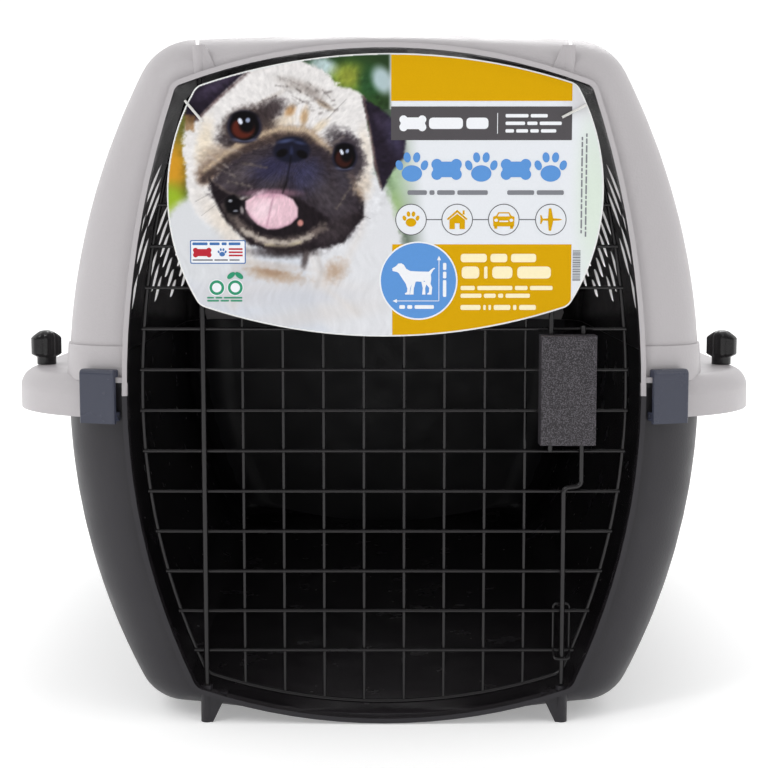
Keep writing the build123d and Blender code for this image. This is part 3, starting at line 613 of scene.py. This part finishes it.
def paint_mask(p):
    """The dark muzzle: eye patches, the fold over the nose and the two lobes."""
    p.blob((66, 55, 53), -80, 361, 17.5, 12.5, 22, 0.28, 0.95, 0.30)
    p.blob((54, 45, 47), -67, 371.5, 10, 5, 30, 0.5, 0.9, 0.5)
    p.blob((40, 34, 40), -86, 351, 12, 4, -18, 0.6, 0.7, 0.5)
    p.blob((52, 45, 52), -22.0, 344.0, 10.4, 15.0, 14, 0.28, 0.95, 0.4)
    p.blob((62, 56, 60), -30, 358, 4.6, 3.6, 40, 0.8, 0.7, 0.9)
    fold = [(-106, 333), (-93, 343), (-77, 352), (-61, 357.5), (-46, 356.5), (-34, 346),
            (-24, 331), (-17, 320)]
    p.line((128, 106, 90), fold, 10.0, 3.2, 0.85, 3.0)
    p.line((196, 176, 150), [(x, z + 3.6) for x, z in fold], 2.6, 1.6, 0.8, 3.0)
    p.line((60, 49, 48), [(x, z - 1.6) for x, z in fold], 5.0, 2.0, 0.9, 2.5)
    p.blob(MASK, -57, 341, 26, 12.5, 4, 0.20, 1.0, 0.2)
    p.blob(MASK, -79, 334.5, 26, 12.0, 27, 0.14, 1.0, 0.2)
    p.blob(MASK, -39, 327, 19, 23, 38, 0.16, 1.0, 0.2)
    p.blob(MASK, -24, 313, 12, 9, 20, 0.25, 1.0, 0.2)
    p.blob(MASK, -60, 328, 12, 9, 0, 0.3)
    p.blob((104, 96, 100), -84, 335, 15, 5.5, 32, 0.8, 0.5, 0.8)
    p.blob((92, 86, 94), -66, 331, 9, 4, 30, 0.9, 0.45, 0.8)
    p.blob(MASK_BLUE, -66, 338, 12, 7, 20, 0.8, 0.7, 0.5)
    p.blob((56, 60, 102), -46, 334, 9, 9, 30, 0.8, 0.55, 0.6)
    p.blob((88, 82, 88), -33, 321, 9, 13, 40, 0.9, 0.45, 0.8)
    p.blob((70, 66, 76), -24, 332, 4, 9, 20, 0.9, 0.5, 0.6)
    p.line((126, 112, 102), [(-104, 331), (-94, 324), (-84, 319.5), (-75, 320)], 1.8, 1.2, 0.6, 2.5)
    for (ax, az), (bx, bz), bright in (((-104, 345), (-92, 338), 150), ((-101, 339), (-88, 333), 128),
                                       ((-96, 350), (-84, 347), 164), ((-92, 330), (-78, 327), 112),
                                       ((-30, 352), (-24, 356), 120), ((-14, 336), (-18, 322), 118),
                                       ((-20, 326), (-28, 314), 104), ((-84, 341), (-70, 338), 96)):
        p.line((bright, bright - 10, bright - 16), [(ax, az), (bx, bz)], 0.9, 1.1, 0.7, 2.6)


def paint_mouth(p):
    mouth = [(-103.5, 332), (-96, 325), (-84, 319), (-76, 322), (-58, 323.5), (-44, 316),
             (-30, 306), (-15, 312), (-12.5, 318), (-12.5, 308), (-24, 294), (-44, 288.5),
             (-62, 287.5), (-80, 293), (-94, 307), (-102, 321)]
    p.patch((28, 22, 26), mouth, 1.4, 1.0, 2.0)
    p.blob((62, 54, 58), -29, 301, 13, 6, 34, 0.8, 0.8, 0.6)
    lower_lip = [(-93, 315), (-86, 304), (-74, 296), (-60, 293), (-46, 297), (-36, 303)]
    p.line((118, 106, 100), lower_lip, 5, 2.2, 0.8, 3)
    p.line((184, 174, 164), [(-84, 301), (-70, 294.5), (-56, 293), (-44, 298)], 2.8, 1.6, 0.9, 2.5)
    p.line((204, 190, 160), [(-70, 292.5), (-58, 291.5), (-50, 294)], 1.4, 1.2, 0.7, 2.0)
    p.blob(INK, -89.5, 316, 5.0, 6.0, 0, 0.3, 1.0, 0.3)
    p.blob((170, 172, 182), -91, 318.5, 1.2, 0.8, 0, 0.5, 0.9)
    p.blob((130, 132, 142), -88.0, 312.6, 1.5, 0.6, 0, 0.5, 0.8)
    p.blob((176, 168, 168), -84.2, 313, 1.0, 2.2, 10, 0.6, 0.7)
    tongue = [(-82, 318.5), (-77, 321.5), (-69, 323), (-60, 322.5), (-54, 319.5), (-51, 314.5), (-51.2, 309),
              (-55.5, 304.8), (-62, 302.2), (-69, 301.8), (-75, 304.6), (-79.5, 309.5), (-82, 314)]
    p.patch(TONGUE, tongue, 0.8)
    p.blob((240, 216, 224), -72, 313, 7, 5, 20, 0.8, 0.7)
    p.blob(TONGUE_SHADE, -66.5, 323, 14, 2.4, 0, 0.7, 0.6)
    p.line(TONGUE_SHADE, [(-65.2, 322), (-67.5, 313), (-69.5, 303.5)], 0.6, 1.0, 0.85)
    p.line(TONGUE_SHADE, [(-81, 312), (-74, 304.4), (-65, 302), (-56, 305), (-52, 309)], 0.6, 1.2, 0.6)
    p.blob((206, 140, 132), -49.6, 305.5, 1.7, 1.9, 0, 0.4, 0.9)
    p.blob((46, 38, 40), -60, 288.5, 17, 3.2, 0, 0.7, 0.9, 0.4)
    p.blob((60, 50, 50), -47, 284, 2.0, 5, -10, 0.7, 0.8, 0.4)


def paint_fur(p):
    """Short hairs that run outward from the nose, and soft tufts on the chest."""
    dx, dz = p.x + 56.0, p.z - 346.0
    angle, reach = np.arctan2(dz, dx), np.hypot(dx, dz)
    hairs = layered_noise(angle * 30.0, reach * 0.34, 11) - 0.5
    tufts = layered_noise(p.x * 0.5 + 1.3 * np.sin(p.z * 0.2), p.z * 0.13, 23) - 0.5
    lightness = p.colour.mean(1) / 255.0
    on_face = smooth(70, 60, reach)
    on_chest = smooth(296, 284, p.z) * smooth(14, 2, p.x)
    grain = (0.10 + 0.55 * (1 - lightness)) * hairs * on_face + 0.07 * tufts * on_chest
    p.colour *= 1 + grain[:, None]


def paint_nose(p):
    p.blob((24, 25, 40), -54.5, 348.0, 11.0, 7.0, 3, 0.16)
    p.blob((24, 25, 40), -55, 353.0, 8.0, 3.2, 3, 0.35)
    p.blob(INK, -60.2, 346.6, 3.4, 2.2, 24, 0.3)
    p.blob(INK, -48.4, 345.8, 3.4, 2.3, -24, 0.3)
    p.blob((78, 88, 128), -58, 353.6, 4.2, 1.0, 10, 0.8, 0.7)
    p.blob((66, 74, 112), -50, 352.6, 3.2, 0.9, -14, 0.8, 0.6)
    p.blob((52, 58, 94), -54.6, 347.6, 1.0, 2.6, 0, 0.8, 0.6)
    p.line(INK, [(-54.8, 345), (-56.0, 338), (-57.5, 330), (-60.0, 323)], 0.7, 1.0, 0.8)


def paint_eye(p, cx, cz, wide, high, iris):
    """A dark glossy eye: rim, iris lit from below, wide pupil and two window glints."""
    p.blob((34, 32, 46), cx, cz - 0.4, wide * 1.28, high * 1.22, 0, 0.12)
    p.blob((120, 124, 150), cx - 0.4, cz - high * 0.98, wide * 0.8, high * 0.14, 0, 0.7, 0.6)
    p.blob(INK, cx, cz, wide * 1.08, high * 1.04, 0, 0.08)
    p.blob(iris, cx - wide * 0.1, cz - high * 0.16, wide * 0.84, high * 0.74, 0, 0.22)
    p.blob(INK, cx + wide * 0.18, cz + high * 0.1, wide * 0.56, high * 0.56, 0, 0.35)
    p.blob(INK, cx, cz + high * 0.74, wide * 0.95, high * 0.36, 0, 0.35, 0.9)
    p.blob((222, 228, 244), cx - wide * 0.30, cz + high * 0.36, wide * 0.15, high * 0.24, 24, 0.3)
    p.blob((170, 182, 214), cx + wide * 0.26, cz + high * 0.44, wide * 0.16, high * 0.17, -20, 0.4, 0.85)


def paint_whiskers(p):
    for x, z, dx, dz in ((-97, 326, -15, -8), (-92, 322, -16, -12), (-30, 318, 22, -10), (-36, 310, 10, -18),
                         (-34, 366, 12, 12), (-66, 352, -14, 6), (-52, 300, 6, -12)):
        p.line((70, 64, 66), [(x, z), (x + dx, z + dz)], 0.16, 0.4, 0.5)


def paint_card(x, z):
    """Display colours (0 to 255) of the whole picture at card points in mm."""
    p = Painting(x, z)
    paint_garden(p)
    paint_white_field(p)
    paint_coat(p)
    paint_ears(p)
    paint_brow(p)
    paint_mask(p)
    paint_mouth(p)
    paint_fur(p)
    paint_nose(p)
    paint_eye(p, -82.3, 362.2, 8.0, 8.0, (84, 34, 24))
    paint_eye(p, -23.2, 344.6, 5.9, 7.0, (52, 24, 20))
    paint_whiskers(p)
    return np.clip(p.colour, 0, 255)


def make_card_picture():
    """A fine grid in front of the card that carries the painting in its vertices."""
    low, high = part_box("hang_card")
    columns = np.arange(low.x / MM, high.x / MM, PAINT_STEP)
    rows = np.arange(low.z / MM, high.z / MM, PAINT_STEP)
    x, z = (a.ravel() for a in np.meshgrid(columns, rows))
    depth = depth_inside(OUTLINE, x, z)
    colour = paint_card(x, z)
    rim = smooth(CARD_BORDER + BORDER_SOFT, CARD_BORDER - BORDER_SOFT, depth)[:, None]
    colour += (np.array(BORDER_COLOUR) - colour) * rim
    width = len(columns)
    corner = (np.arange(len(rows) - 1)[:, None] * width + np.arange(width - 1)).ravel()
    quads = np.stack((corner, corner + 1, corner + width + 1, corner + width), 1)
    quads = quads[(depth[quads] > PAINT_MARGIN).all(1)]
    used, quads = np.unique(quads, return_inverse=True)
    points = np.stack((x[used] * MM, np.full(len(used), CARD_FRONT - INK_LAYER * MM), z[used] * MM), 1)
    mesh = bpy.data.meshes.new("card_picture")
    mesh.from_pydata(points.tolist(), [], quads.reshape(-1, 4).tolist())
    paint = mesh.color_attributes.new("paint", "FLOAT_COLOR", "POINT")
    values = np.ones((len(used), 4))
    values[:, :3] = linear(colour[used])
    paint.data.foreach_set("color", values.astype(np.float32).ravel())
    mesh.materials.append(card_material("card_picture_ink"))
    obj = bpy.data.objects.new("card_picture", mesh)
    bpy.context.scene.collection.objects.link(obj)
    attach(obj, "door")


# ---------------------------------------------------------------- hang card: flat printed shapes
INKS = {
    "yellow": srgb(213, 163, 0), "charcoal": srgb(84, 81, 84), "white": srgb(238, 240, 244),
    "blue": srgb(94, 149, 214), "line_grey": srgb(84, 84, 88), "text_grey": srgb(128, 130, 136),
    "pale": srgb(250, 238, 196), "green": srgb(52, 148, 112), "red": srgb(186, 44, 58),
    "badge_blue": srgb(72, 116, 176), "field": srgb(228, 231, 236)}


class PrintSheet:
    """Flat shapes printed on the card, each a thin closed slab of one ink. Later layers lie in front."""

    def __init__(self):
        self.bm = bmesh.new()
        self.order = list(INKS)

    def shape(self, points, ink, layer):
        front = CARD_FRONT - (layer + 1) * INK_LAYER * MM
        rings = []
        for y in (front, front + 0.8 * INK_LAYER * MM):
            rings.append([self.bm.verts.new((x * MM, y, z * MM)) for x, z in points])
        faces = [self.bm.faces.new(rings[0]), self.bm.faces.new(rings[1][::-1])]
        count = len(points)
        for i in range(count):
            j = (i + 1) % count
            faces.append(self.bm.faces.new((rings[0][j], rings[0][i], rings[1][i], rings[1][j])))
        for face in faces:
            face.material_index = self.order.index(ink)

    def shape_at(self, cx, cz, offsets, ink, layer):
        """A shape whose points are given from a middle."""
        self.shape([(cx + x, cz + z) for x, z in offsets], ink, layer)

    def bar(self, x0, z0, x1, z1, ink, layer=2, radius=0.0):
        """A rectangle, with round corners when a radius is given."""
        if radius == 0.0:
            self.shape([(x0, z0), (x1, z0), (x1, z1), (x0, z1)], ink, layer)
            return
        corners = ((x1 - radius, z0 + radius, -90), (x1 - radius, z1 - radius, 0),
                   (x0 + radius, z1 - radius, 90), (x0 + radius, z0 + radius, 180))
        points = []
        for cx, cz, start in corners:
            for step in range(4):
                a = math.radians(start + 30 * step)
                points.append((cx + radius * math.cos(a), cz + radius * math.sin(a)))
        self.shape(points, ink, layer)

    def disc(self, cx, cz, rx, ink, layer=2, rz=None, turn=0.0, sides=40):
        rz = rz or rx
        c, s = math.cos(math.radians(turn)), math.sin(math.radians(turn))
        points = []
        for i in range(sides):
            a = 2 * math.pi * i / sides
            u, v = rx * math.cos(a), rz * math.sin(a)
            points.append((cx + u * c - v * s, cz + u * s + v * c))
        self.shape(points, ink, layer)

    def ring(self, cx, cz, radius, width, ink, fill, layer=2):
        self.disc(cx, cz, radius, ink, layer, sides=64)
        self.disc(cx, cz, radius - width, fill, layer + 1, sides=64)

    def words(self, x, z, lengths, height, ink, gap=0.35, layer=3):
        """A line of print stood in for by one rounded bar per word."""
        for length in lengths:
            self.bar(x, z - height / 2, x + length, z + height / 2, ink, layer, min(height, length) * 0.32)
            x += length + gap * height + 0.7

    def paw(self, cx, cz, size, ink, layer=3):
        """A paw print: a pad and four toes."""
        self.disc(cx, cz - 0.16 * size, 0.30 * size, ink, layer, rz=0.24 * size)
        for dx, dz, turn in ((-0.37, 0.08, 20), (-0.14, 0.31, 8), (0.14, 0.31, -8), (0.37, 0.08, -20)):
            x, z = cx + dx * size, cz + dz * size
            self.disc(x, z, 0.105 * size, ink, layer, rz=0.15 * size, turn=turn, sides=20)

    def bone(self, cx, cz, length, height, ink, layer=3):
        """A bone: two round knobs at each end of a bar, in one outline."""
        knob = height * 0.27
        points = []
        for side, up, start in ((1, -1, -150), (1, 1, -45), (-1, 1, 30), (-1, -1, 135)):
            for step in range(14):
                a = math.radians(start + 15 * step)
                x = cx + side * length / 2 + knob * math.cos(a)
                points.append((x, cz + up * knob * 0.9 + knob * math.sin(a)))
        self.shape(points, ink, layer)

    def finish(self):
        bmesh.ops.recalc_face_normals(self.bm, faces=self.bm.faces)
        inks = [card_material(f"ink_{name}", INKS[name]) for name in self.order]
        return mesh_piece("card_print", self.bm, "door", inks)


PANEL_LEFT = 4.2
PANEL_RIGHT = 110.8
TOP_BAND_Z = 376.9
BANNER_Z = (354.1, 373.7)
BLOCK_TOP_Z = 292.9
MOTIF_Z = 337.0
ICON_Z = 307.5
ICON_X = (16.0, 43.4, 71.0, 98.9)
ICON_RADIUS = 9.3
SIZE_DISC = (20.5, 271.3, 22.4)


def print_panels(sheet):
    """The flat yellow fields, cut to the card's own outline, and the dark banner."""
    field = inset(OUTLINE, 0.9)
    band = clip(clip(field, 0, PANEL_LEFT, True), 0, PANEL_RIGHT, False)
    sheet.shape(clip(band, 1, TOP_BAND_Z, True), "yellow", 1)
    block = clip(clip(field, 0, PANEL_LEFT + 0.7, True), 0, PANEL_RIGHT + 0.6, False)
    sheet.shape(clip(block, 1, BLOCK_TOP_Z, False), "yellow", 1)
    sheet.bar(PANEL_LEFT, BANNER_Z[0], PANEL_RIGHT, BANNER_Z[1], "charcoal")
    middle = sum(BANNER_Z) / 2
    sheet.bone(17.0, middle, 11.0, 9.0, "white")
    sheet.words(26.5, middle, (20.0, 13.0), 6.6, "white", 0.2)
    sheet.bar(66.7, middle - 6.0, 67.1, middle + 6.0, "white", 3)
    for drop, lengths in ((4.4, (13.5, 10.0)), (0.0, (11.5, 6.0, 13.0)), (-4.4, (5.0, 7.0, 5.0, 9.0))):
        sheet.words(71.6, middle + drop, lengths, 2.0, "white", 0.3)


def print_motif(sheet):
    """A row of paws and bones in blue where the picture's large wording would be, and a line below it."""
    for x in (16.5, 57.5, 98.5):
        sheet.paw(x, MOTIF_Z + 0.8, 20.0, "blue")
    for x in (37.0, 78.0):
        sheet.bone(x, MOTIF_Z, 11.5, 12.0, "blue")
    sheet.words(13.9, 323.4, (11.5, 3.0, 10.5, 18.0), 2.7, "text_grey", 0.3)
    sheet.words(72.9, 323.4, (16.0, 16.0), 2.7, "text_grey", 0.3)


def print_house(sheet, x, z):
    roof = [(-6.2, 0.4), (0, 5.8), (6.2, 0.4), (5.4, -0.3), (0, 4.2), (-5.4, -0.3)]
    walls = [(-4.6, -5.6), (-1.4, -5.6), (-1.4, -2.2), (1.4, -2.2), (1.4, -5.6), (4.6, -5.6),
             (4.6, 0), (0, 3.4), (-4.6, 0)]
    sheet.shape_at(x, z, roof[::-1], "yellow", 4)
    sheet.shape_at(x, z, walls, "yellow", 4)
    sheet.bar(x + 3.2, z + 3.0, x + 4.4, z + 5.4, "yellow", 4)


def print_car(sheet, x, z):
    body = [(-6.2, -4.0), (6.2, -4.0), (6.4, 1.6), (4.4, 2.4), (3.2, 4.4), (-3.2, 4.4),
            (-4.4, 2.4), (-6.4, 1.6)]
    windscreen = [(-3.6, 1.9), (3.6, 1.9), (2.8, 3.6), (-2.8, 3.6)]
    sheet.shape_at(x, z, body, "yellow", 4)
    sheet.shape_at(x, z, windscreen, "field", 5)
    for side in (-1, 1):
        sheet.disc(x + 4.5 * side, z - 0.4, 1.1, "field", 5, rz=0.9, sides=20)
        wheel = x + 4.7 * side
        sheet.bar(wheel - 0.9, z - 5.4, wheel + 0.9, z - 3.8, "yellow", 4)
    sheet.bar(x - 2.6, z - 1.4, x + 2.6, z - 0.6, "field", 5)


def print_plane(sheet, x, z):
    sheet.disc(x + 0.2, z, 6.4, "yellow", 4, rz=0.75, sides=28)
    for side in (-1, 1):
        wing = [(1.6, 0), (0.2, 6.6 * side), (-1.2, 6.6 * side), (-1.8, 0)]
        tail = [(-4.4, 0), (-5.6, 2.6 * side), (-6.4, 2.6 * side), (-6.0, 0)]
        sheet.shape_at(x, z, wing[::side], "yellow", 5)
        sheet.shape_at(x, z, tail[::side], "yellow", 5)


def print_icons(sheet):
    """Four ringed icons on a line: a paw, a house, a car and an aeroplane."""
    for left, right in zip(ICON_X, ICON_X[1:]):
        sheet.bar(left + ICON_RADIUS, ICON_Z - 0.25, right - ICON_RADIUS, ICON_Z + 0.25, "line_grey")
    for x in ICON_X:
        sheet.ring(x, ICON_Z, ICON_RADIUS, 0.5, "line_grey", "field")
    sheet.paw(ICON_X[0], ICON_Z, 10.5, "yellow", 4)
    print_house(sheet, ICON_X[1], ICON_Z)
    print_car(sheet, ICON_X[2], ICON_Z)
    print_plane(sheet, ICON_X[3], ICON_Z)


def print_size_disc(sheet):
    """The blue disc with a standing dog between two measuring arrows."""
    cx, cz, radius = SIZE_DISC
    sheet.ring(cx, cz, radius + 0.9, 0.9, "white", "blue", 3)
    dog = [(-15.6, 7.4), (-15.4, 5.8), (-12.6, 5.2), (-11.6, 4.4), (-9.4, 1.0), (-7.6, -1.6),
           (-6.6, -4.6), (-6.8, -6.8), (-8.0, -7.4), (-7.9, -8.2), (-5.2, -8.2), (-4.9, -4.6),
           (-4.0, -1.6), (-1.0, -0.4), (2.0, -0.6), (3.6, 0.0), (4.6, -2.0), (6.4, -4.2),
           (6.3, -6.9), (5.3, -7.5), (5.4, -8.2), (7.8, -8.2), (8.2, -4.0), (7.2, -1.8),
           (7.6, 1.0), (7.4, 3.8), (8.8, 6.4), (10.0, 7.4), (9.2, 7.7), (7.6, 6.8), (6.2, 5.4),
           (0.0, 5.5), (-5.0, 5.8), (-7.4, 7.2), (-8.6, 9.4), (-10.2, 10.4), (-12.0, 10.2),
           (-13.2, 8.8)]
    far_foreleg = [(-3.92, -0.8), (-1.72, -0.8), (-2.72, -4.6), (-2.92, -8.2), (-5.12, -8.2), (-4.52, -4.6)]
    far_hindleg = [(1.6, 0.0), (5.2, -1.0), (4.0, -4.4), (4.2, -8.2), (2.2, -8.2), (2.6, -4.4)]
    sheet.shape_at(cx, cz, dog, "white", 5)
    sheet.shape_at(cx, cz, far_foreleg, "white", 6)
    sheet.shape_at(cx, cz, far_hindleg, "white", 6)
    right, floor_z = cx + 12.2, cz - 12.0
    sheet.bar(right - 0.2, floor_z, right + 0.2, cz + 13.0, "white", 5)
    sheet.bar(cx - 13.5, floor_z - 0.2, right, floor_z + 0.2, "white", 5)
    sheet.shape_at(right, cz, [(-1.2, 12.2), (1.2, 12.2), (0, 14.8)], "white", 6)
    sheet.shape_at(cx, floor_z, [(-15.4, 0), (-12.8, 1.2), (-12.8, -1.2)], "white", 6)
    sheet.words(cx - 11.4, cz - 15.6, (3.4, 3.0, 11.6), 2.2, "white", 0.3, 5)
    for z0, z1 in ((cz + 6.4, cz + 10.6), (cz + 1.4, cz + 5.4), (cz - 9.6, cz + 0.4)):
        sheet.bar(right + 2.4, z0, right + 4.4, z1, "white", 5, 0.6)


def print_block_lines(sheet):
    """Lines of print on the yellow block, a bar code and two columns of small print at the edge."""
    lines = ((284.8, 45.6, (15.5, 10.0, 15.0), 5.0), (276.2, 46.2, (10.5, 2.0, 12.0, 20.0), 7.2),
             (267.0, 45.6, (8.5, 21.0, 7.5, 13.5), 2.5), (262.4, 45.6, (12.5, 7.0, 3.0, 14.5), 2.5),
             (255.4, 45.6, (12.0, 1.5, 1.5, 10.0, 2.0, 10.0), 3.0))
    for z, x, lengths, height in lines:
        sheet.words(x, z, lengths, height, "pale", 0.3)
    z = 289.4
    for i in range(18):
        thick = 0.35 + 0.45 * ((i * 7) % 5) / 4
        sheet.bar(112.2, z - thick, 116.8, z, "text_grey", 2)
        z -= thick + 0.45
    for x, top, bottom in ((117.0, 356.0, 299.0), (119.6, 358.0, 297.5)):
        z, i = top, 0
        while z > bottom:
            length = 2.0 + 1.1 * ((i * 5) % 4)
            sheet.bar(x - 0.45, z - length, x + 0.45, z, "text_grey", 2, 0.2)
            z -= length + 0.9
            i += 1


def print_badges(sheet):
    """On the picture: a small striped badge and a green leaf mark, both generic."""
    x0, z0, x1, z1 = -115.2, 281.4, -82.2, 295.4
    sheet.bar(x0, z0, x1, z1, "badge_blue", 2, 0.8)
    sheet.bar(x0 + 0.6, z0 + 0.6, x1 - 0.6, z1 - 0.6, "white", 3, 0.5)
    sheet.words(x0 + 1.4, z1 - 2.2, (9.0, 6.0, 3.0, 7.0), 1.6, "badge_blue", 0.3, 4)
    sheet.bone(x0 + 7.2, z0 + 6.6, 8.0, 5.6, "red", 4)
    sheet.paw(x0 + 19.0, z0 + 6.6, 5.6, "badge_blue", 4)
    for i in range(3):
        sheet.bar(x0 + 23.0, z0 + 4.4 + 1.9 * i, x1 - 1.8, z0 + 5.4 + 1.9 * i, "red", 4)
    sheet.words(x0 + 1.4, z0 + 2.2, (12.0, 8.0, 6.0), 0.9, "text_grey", 0.3, 4)
    for cx, radius in ((-99.6, 4.4), (-88.6, 4.4)):
        sheet.disc(cx, 267.2, radius + 0.5, "white", 2)
        sheet.disc(cx, 267.2, radius, "green", 3)
        sheet.disc(cx, 267.2, radius - 1.6, "white", 4)
    for turn, side in ((38, -1), (142, 1)):
        sheet.disc(-88.6 - 2.4 * side, 274.4, 2.8, "green", 5, rz=1.5, turn=180 - turn, sides=24)
    sheet.words(-105.4, 261.2, (4.0, 4.0, 11.0), 0.9, "green", 0.3, 4)
    sheet.words(-105.4, 259.4, (7.0, 5.0, 7.0), 0.9, "green", 0.3, 4)


def make_card_print():
    sheet = PrintSheet()
    print_panels(sheet)
    print_motif(sheet)
    print_icons(sheet)
    print_size_disc(sheet)
    print_block_lines(sheet)
    print_badges(sheet)
    sheet.finish()


# ---------------------------------------------------------------- wing nuts
KNOB_BARREL = 6.9
KNOB_WING = 9.3
KNOB_WING_HALF = 3.7
KNOB_STEM = 6.2
KNOB_FLUTES = 10
KNOB_FLUTE_DEPTH = 0.32
KNOB_DOME_START = 0.78
KNOB_CORNER = 7
KNOB_BLEND = 5.0
KNOB_RINGS = 40
KNOB_SIDES = 96
KNOB_TOP = 0.995
KNOB_FIRST_TURN = 35
KNOB_TURN_STEP = 110
KNOB_TIP = 0.6


def knob_radius(angle, height):
    """Radius in mm of a two-winged, fluted knob with a round stem, at a height from 0 to 1."""
    flutes = KNOB_FLUTE_DEPTH * math.cos(KNOB_FLUTES * angle)
    dome = math.sqrt(max(0.0, 1 - max(0.0, (height - KNOB_DOME_START) / (1 - KNOB_DOME_START)) ** 2.4))
    foot = min(1.0, max(0.0, (height - 0.22) / 0.05))
    barrel = (KNOB_STEM + (KNOB_BARREL - KNOB_STEM + flutes) * foot) * dome
    rise = min(1.0, max(0.0, (height - 0.20) / 0.10)) * min(1.0, max(0.0, (0.93 - height) / 0.16))
    across, along = abs(math.sin(angle)) / KNOB_WING_HALF, abs(math.cos(angle)) / KNOB_WING
    wing = (across**KNOB_CORNER + along**KNOB_CORNER) ** (-1 / KNOB_CORNER) * rise**0.35
    return (barrel**KNOB_BLEND + wing**KNOB_BLEND) ** (1 / KNOB_BLEND) if barrel > 0 else 0.0


def make_knob(node, turn):
    low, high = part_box(node)
    cx, cy = (low.x + high.x) / 2, (low.y + high.y) / 2
    bm = bmesh.new()
    rings = []
    for i in range(KNOB_RINGS):
        height = i / (KNOB_RINGS - 1) * KNOB_TOP
        ring = []
        for k in range(KNOB_SIDES):
            a = 2 * math.pi * k / KNOB_SIDES
            r = max(knob_radius(a, height), KNOB_TIP) * MM
            x, y = cx + r * math.cos(a + turn), cy + r * math.sin(a + turn)
            ring.append(bm.verts.new((x, y, low.z + height * (high.z - low.z))))
        rings.append(ring)
    for below, above in zip(rings, rings[1:]):
        for k in range(KNOB_SIDES):
            j = (k + 1) % KNOB_SIDES
            bm.faces.new((below[k], below[j], above[j], above[k]))
    bm.faces.new(rings[0][::-1])
    bm.faces.new(rings[-1])
    name = node.replace("wing_nut", "knob")
    body = node.replace("wing_nut", "nut")
    obj = mesh_piece(name, bm, body, [MATERIALS["knob"]], smooth=True)
    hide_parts(node)


make_camera()
make_studio()
make_floor()
dress_cad()
make_card_picture()
make_card_print()
for index, corner in enumerate(("front_left", "front_right", "rear_left", "rear_right")):
    make_knob("wing_nut_" + corner, math.radians(KNOB_FIRST_TURN + KNOB_TURN_STEP * index))
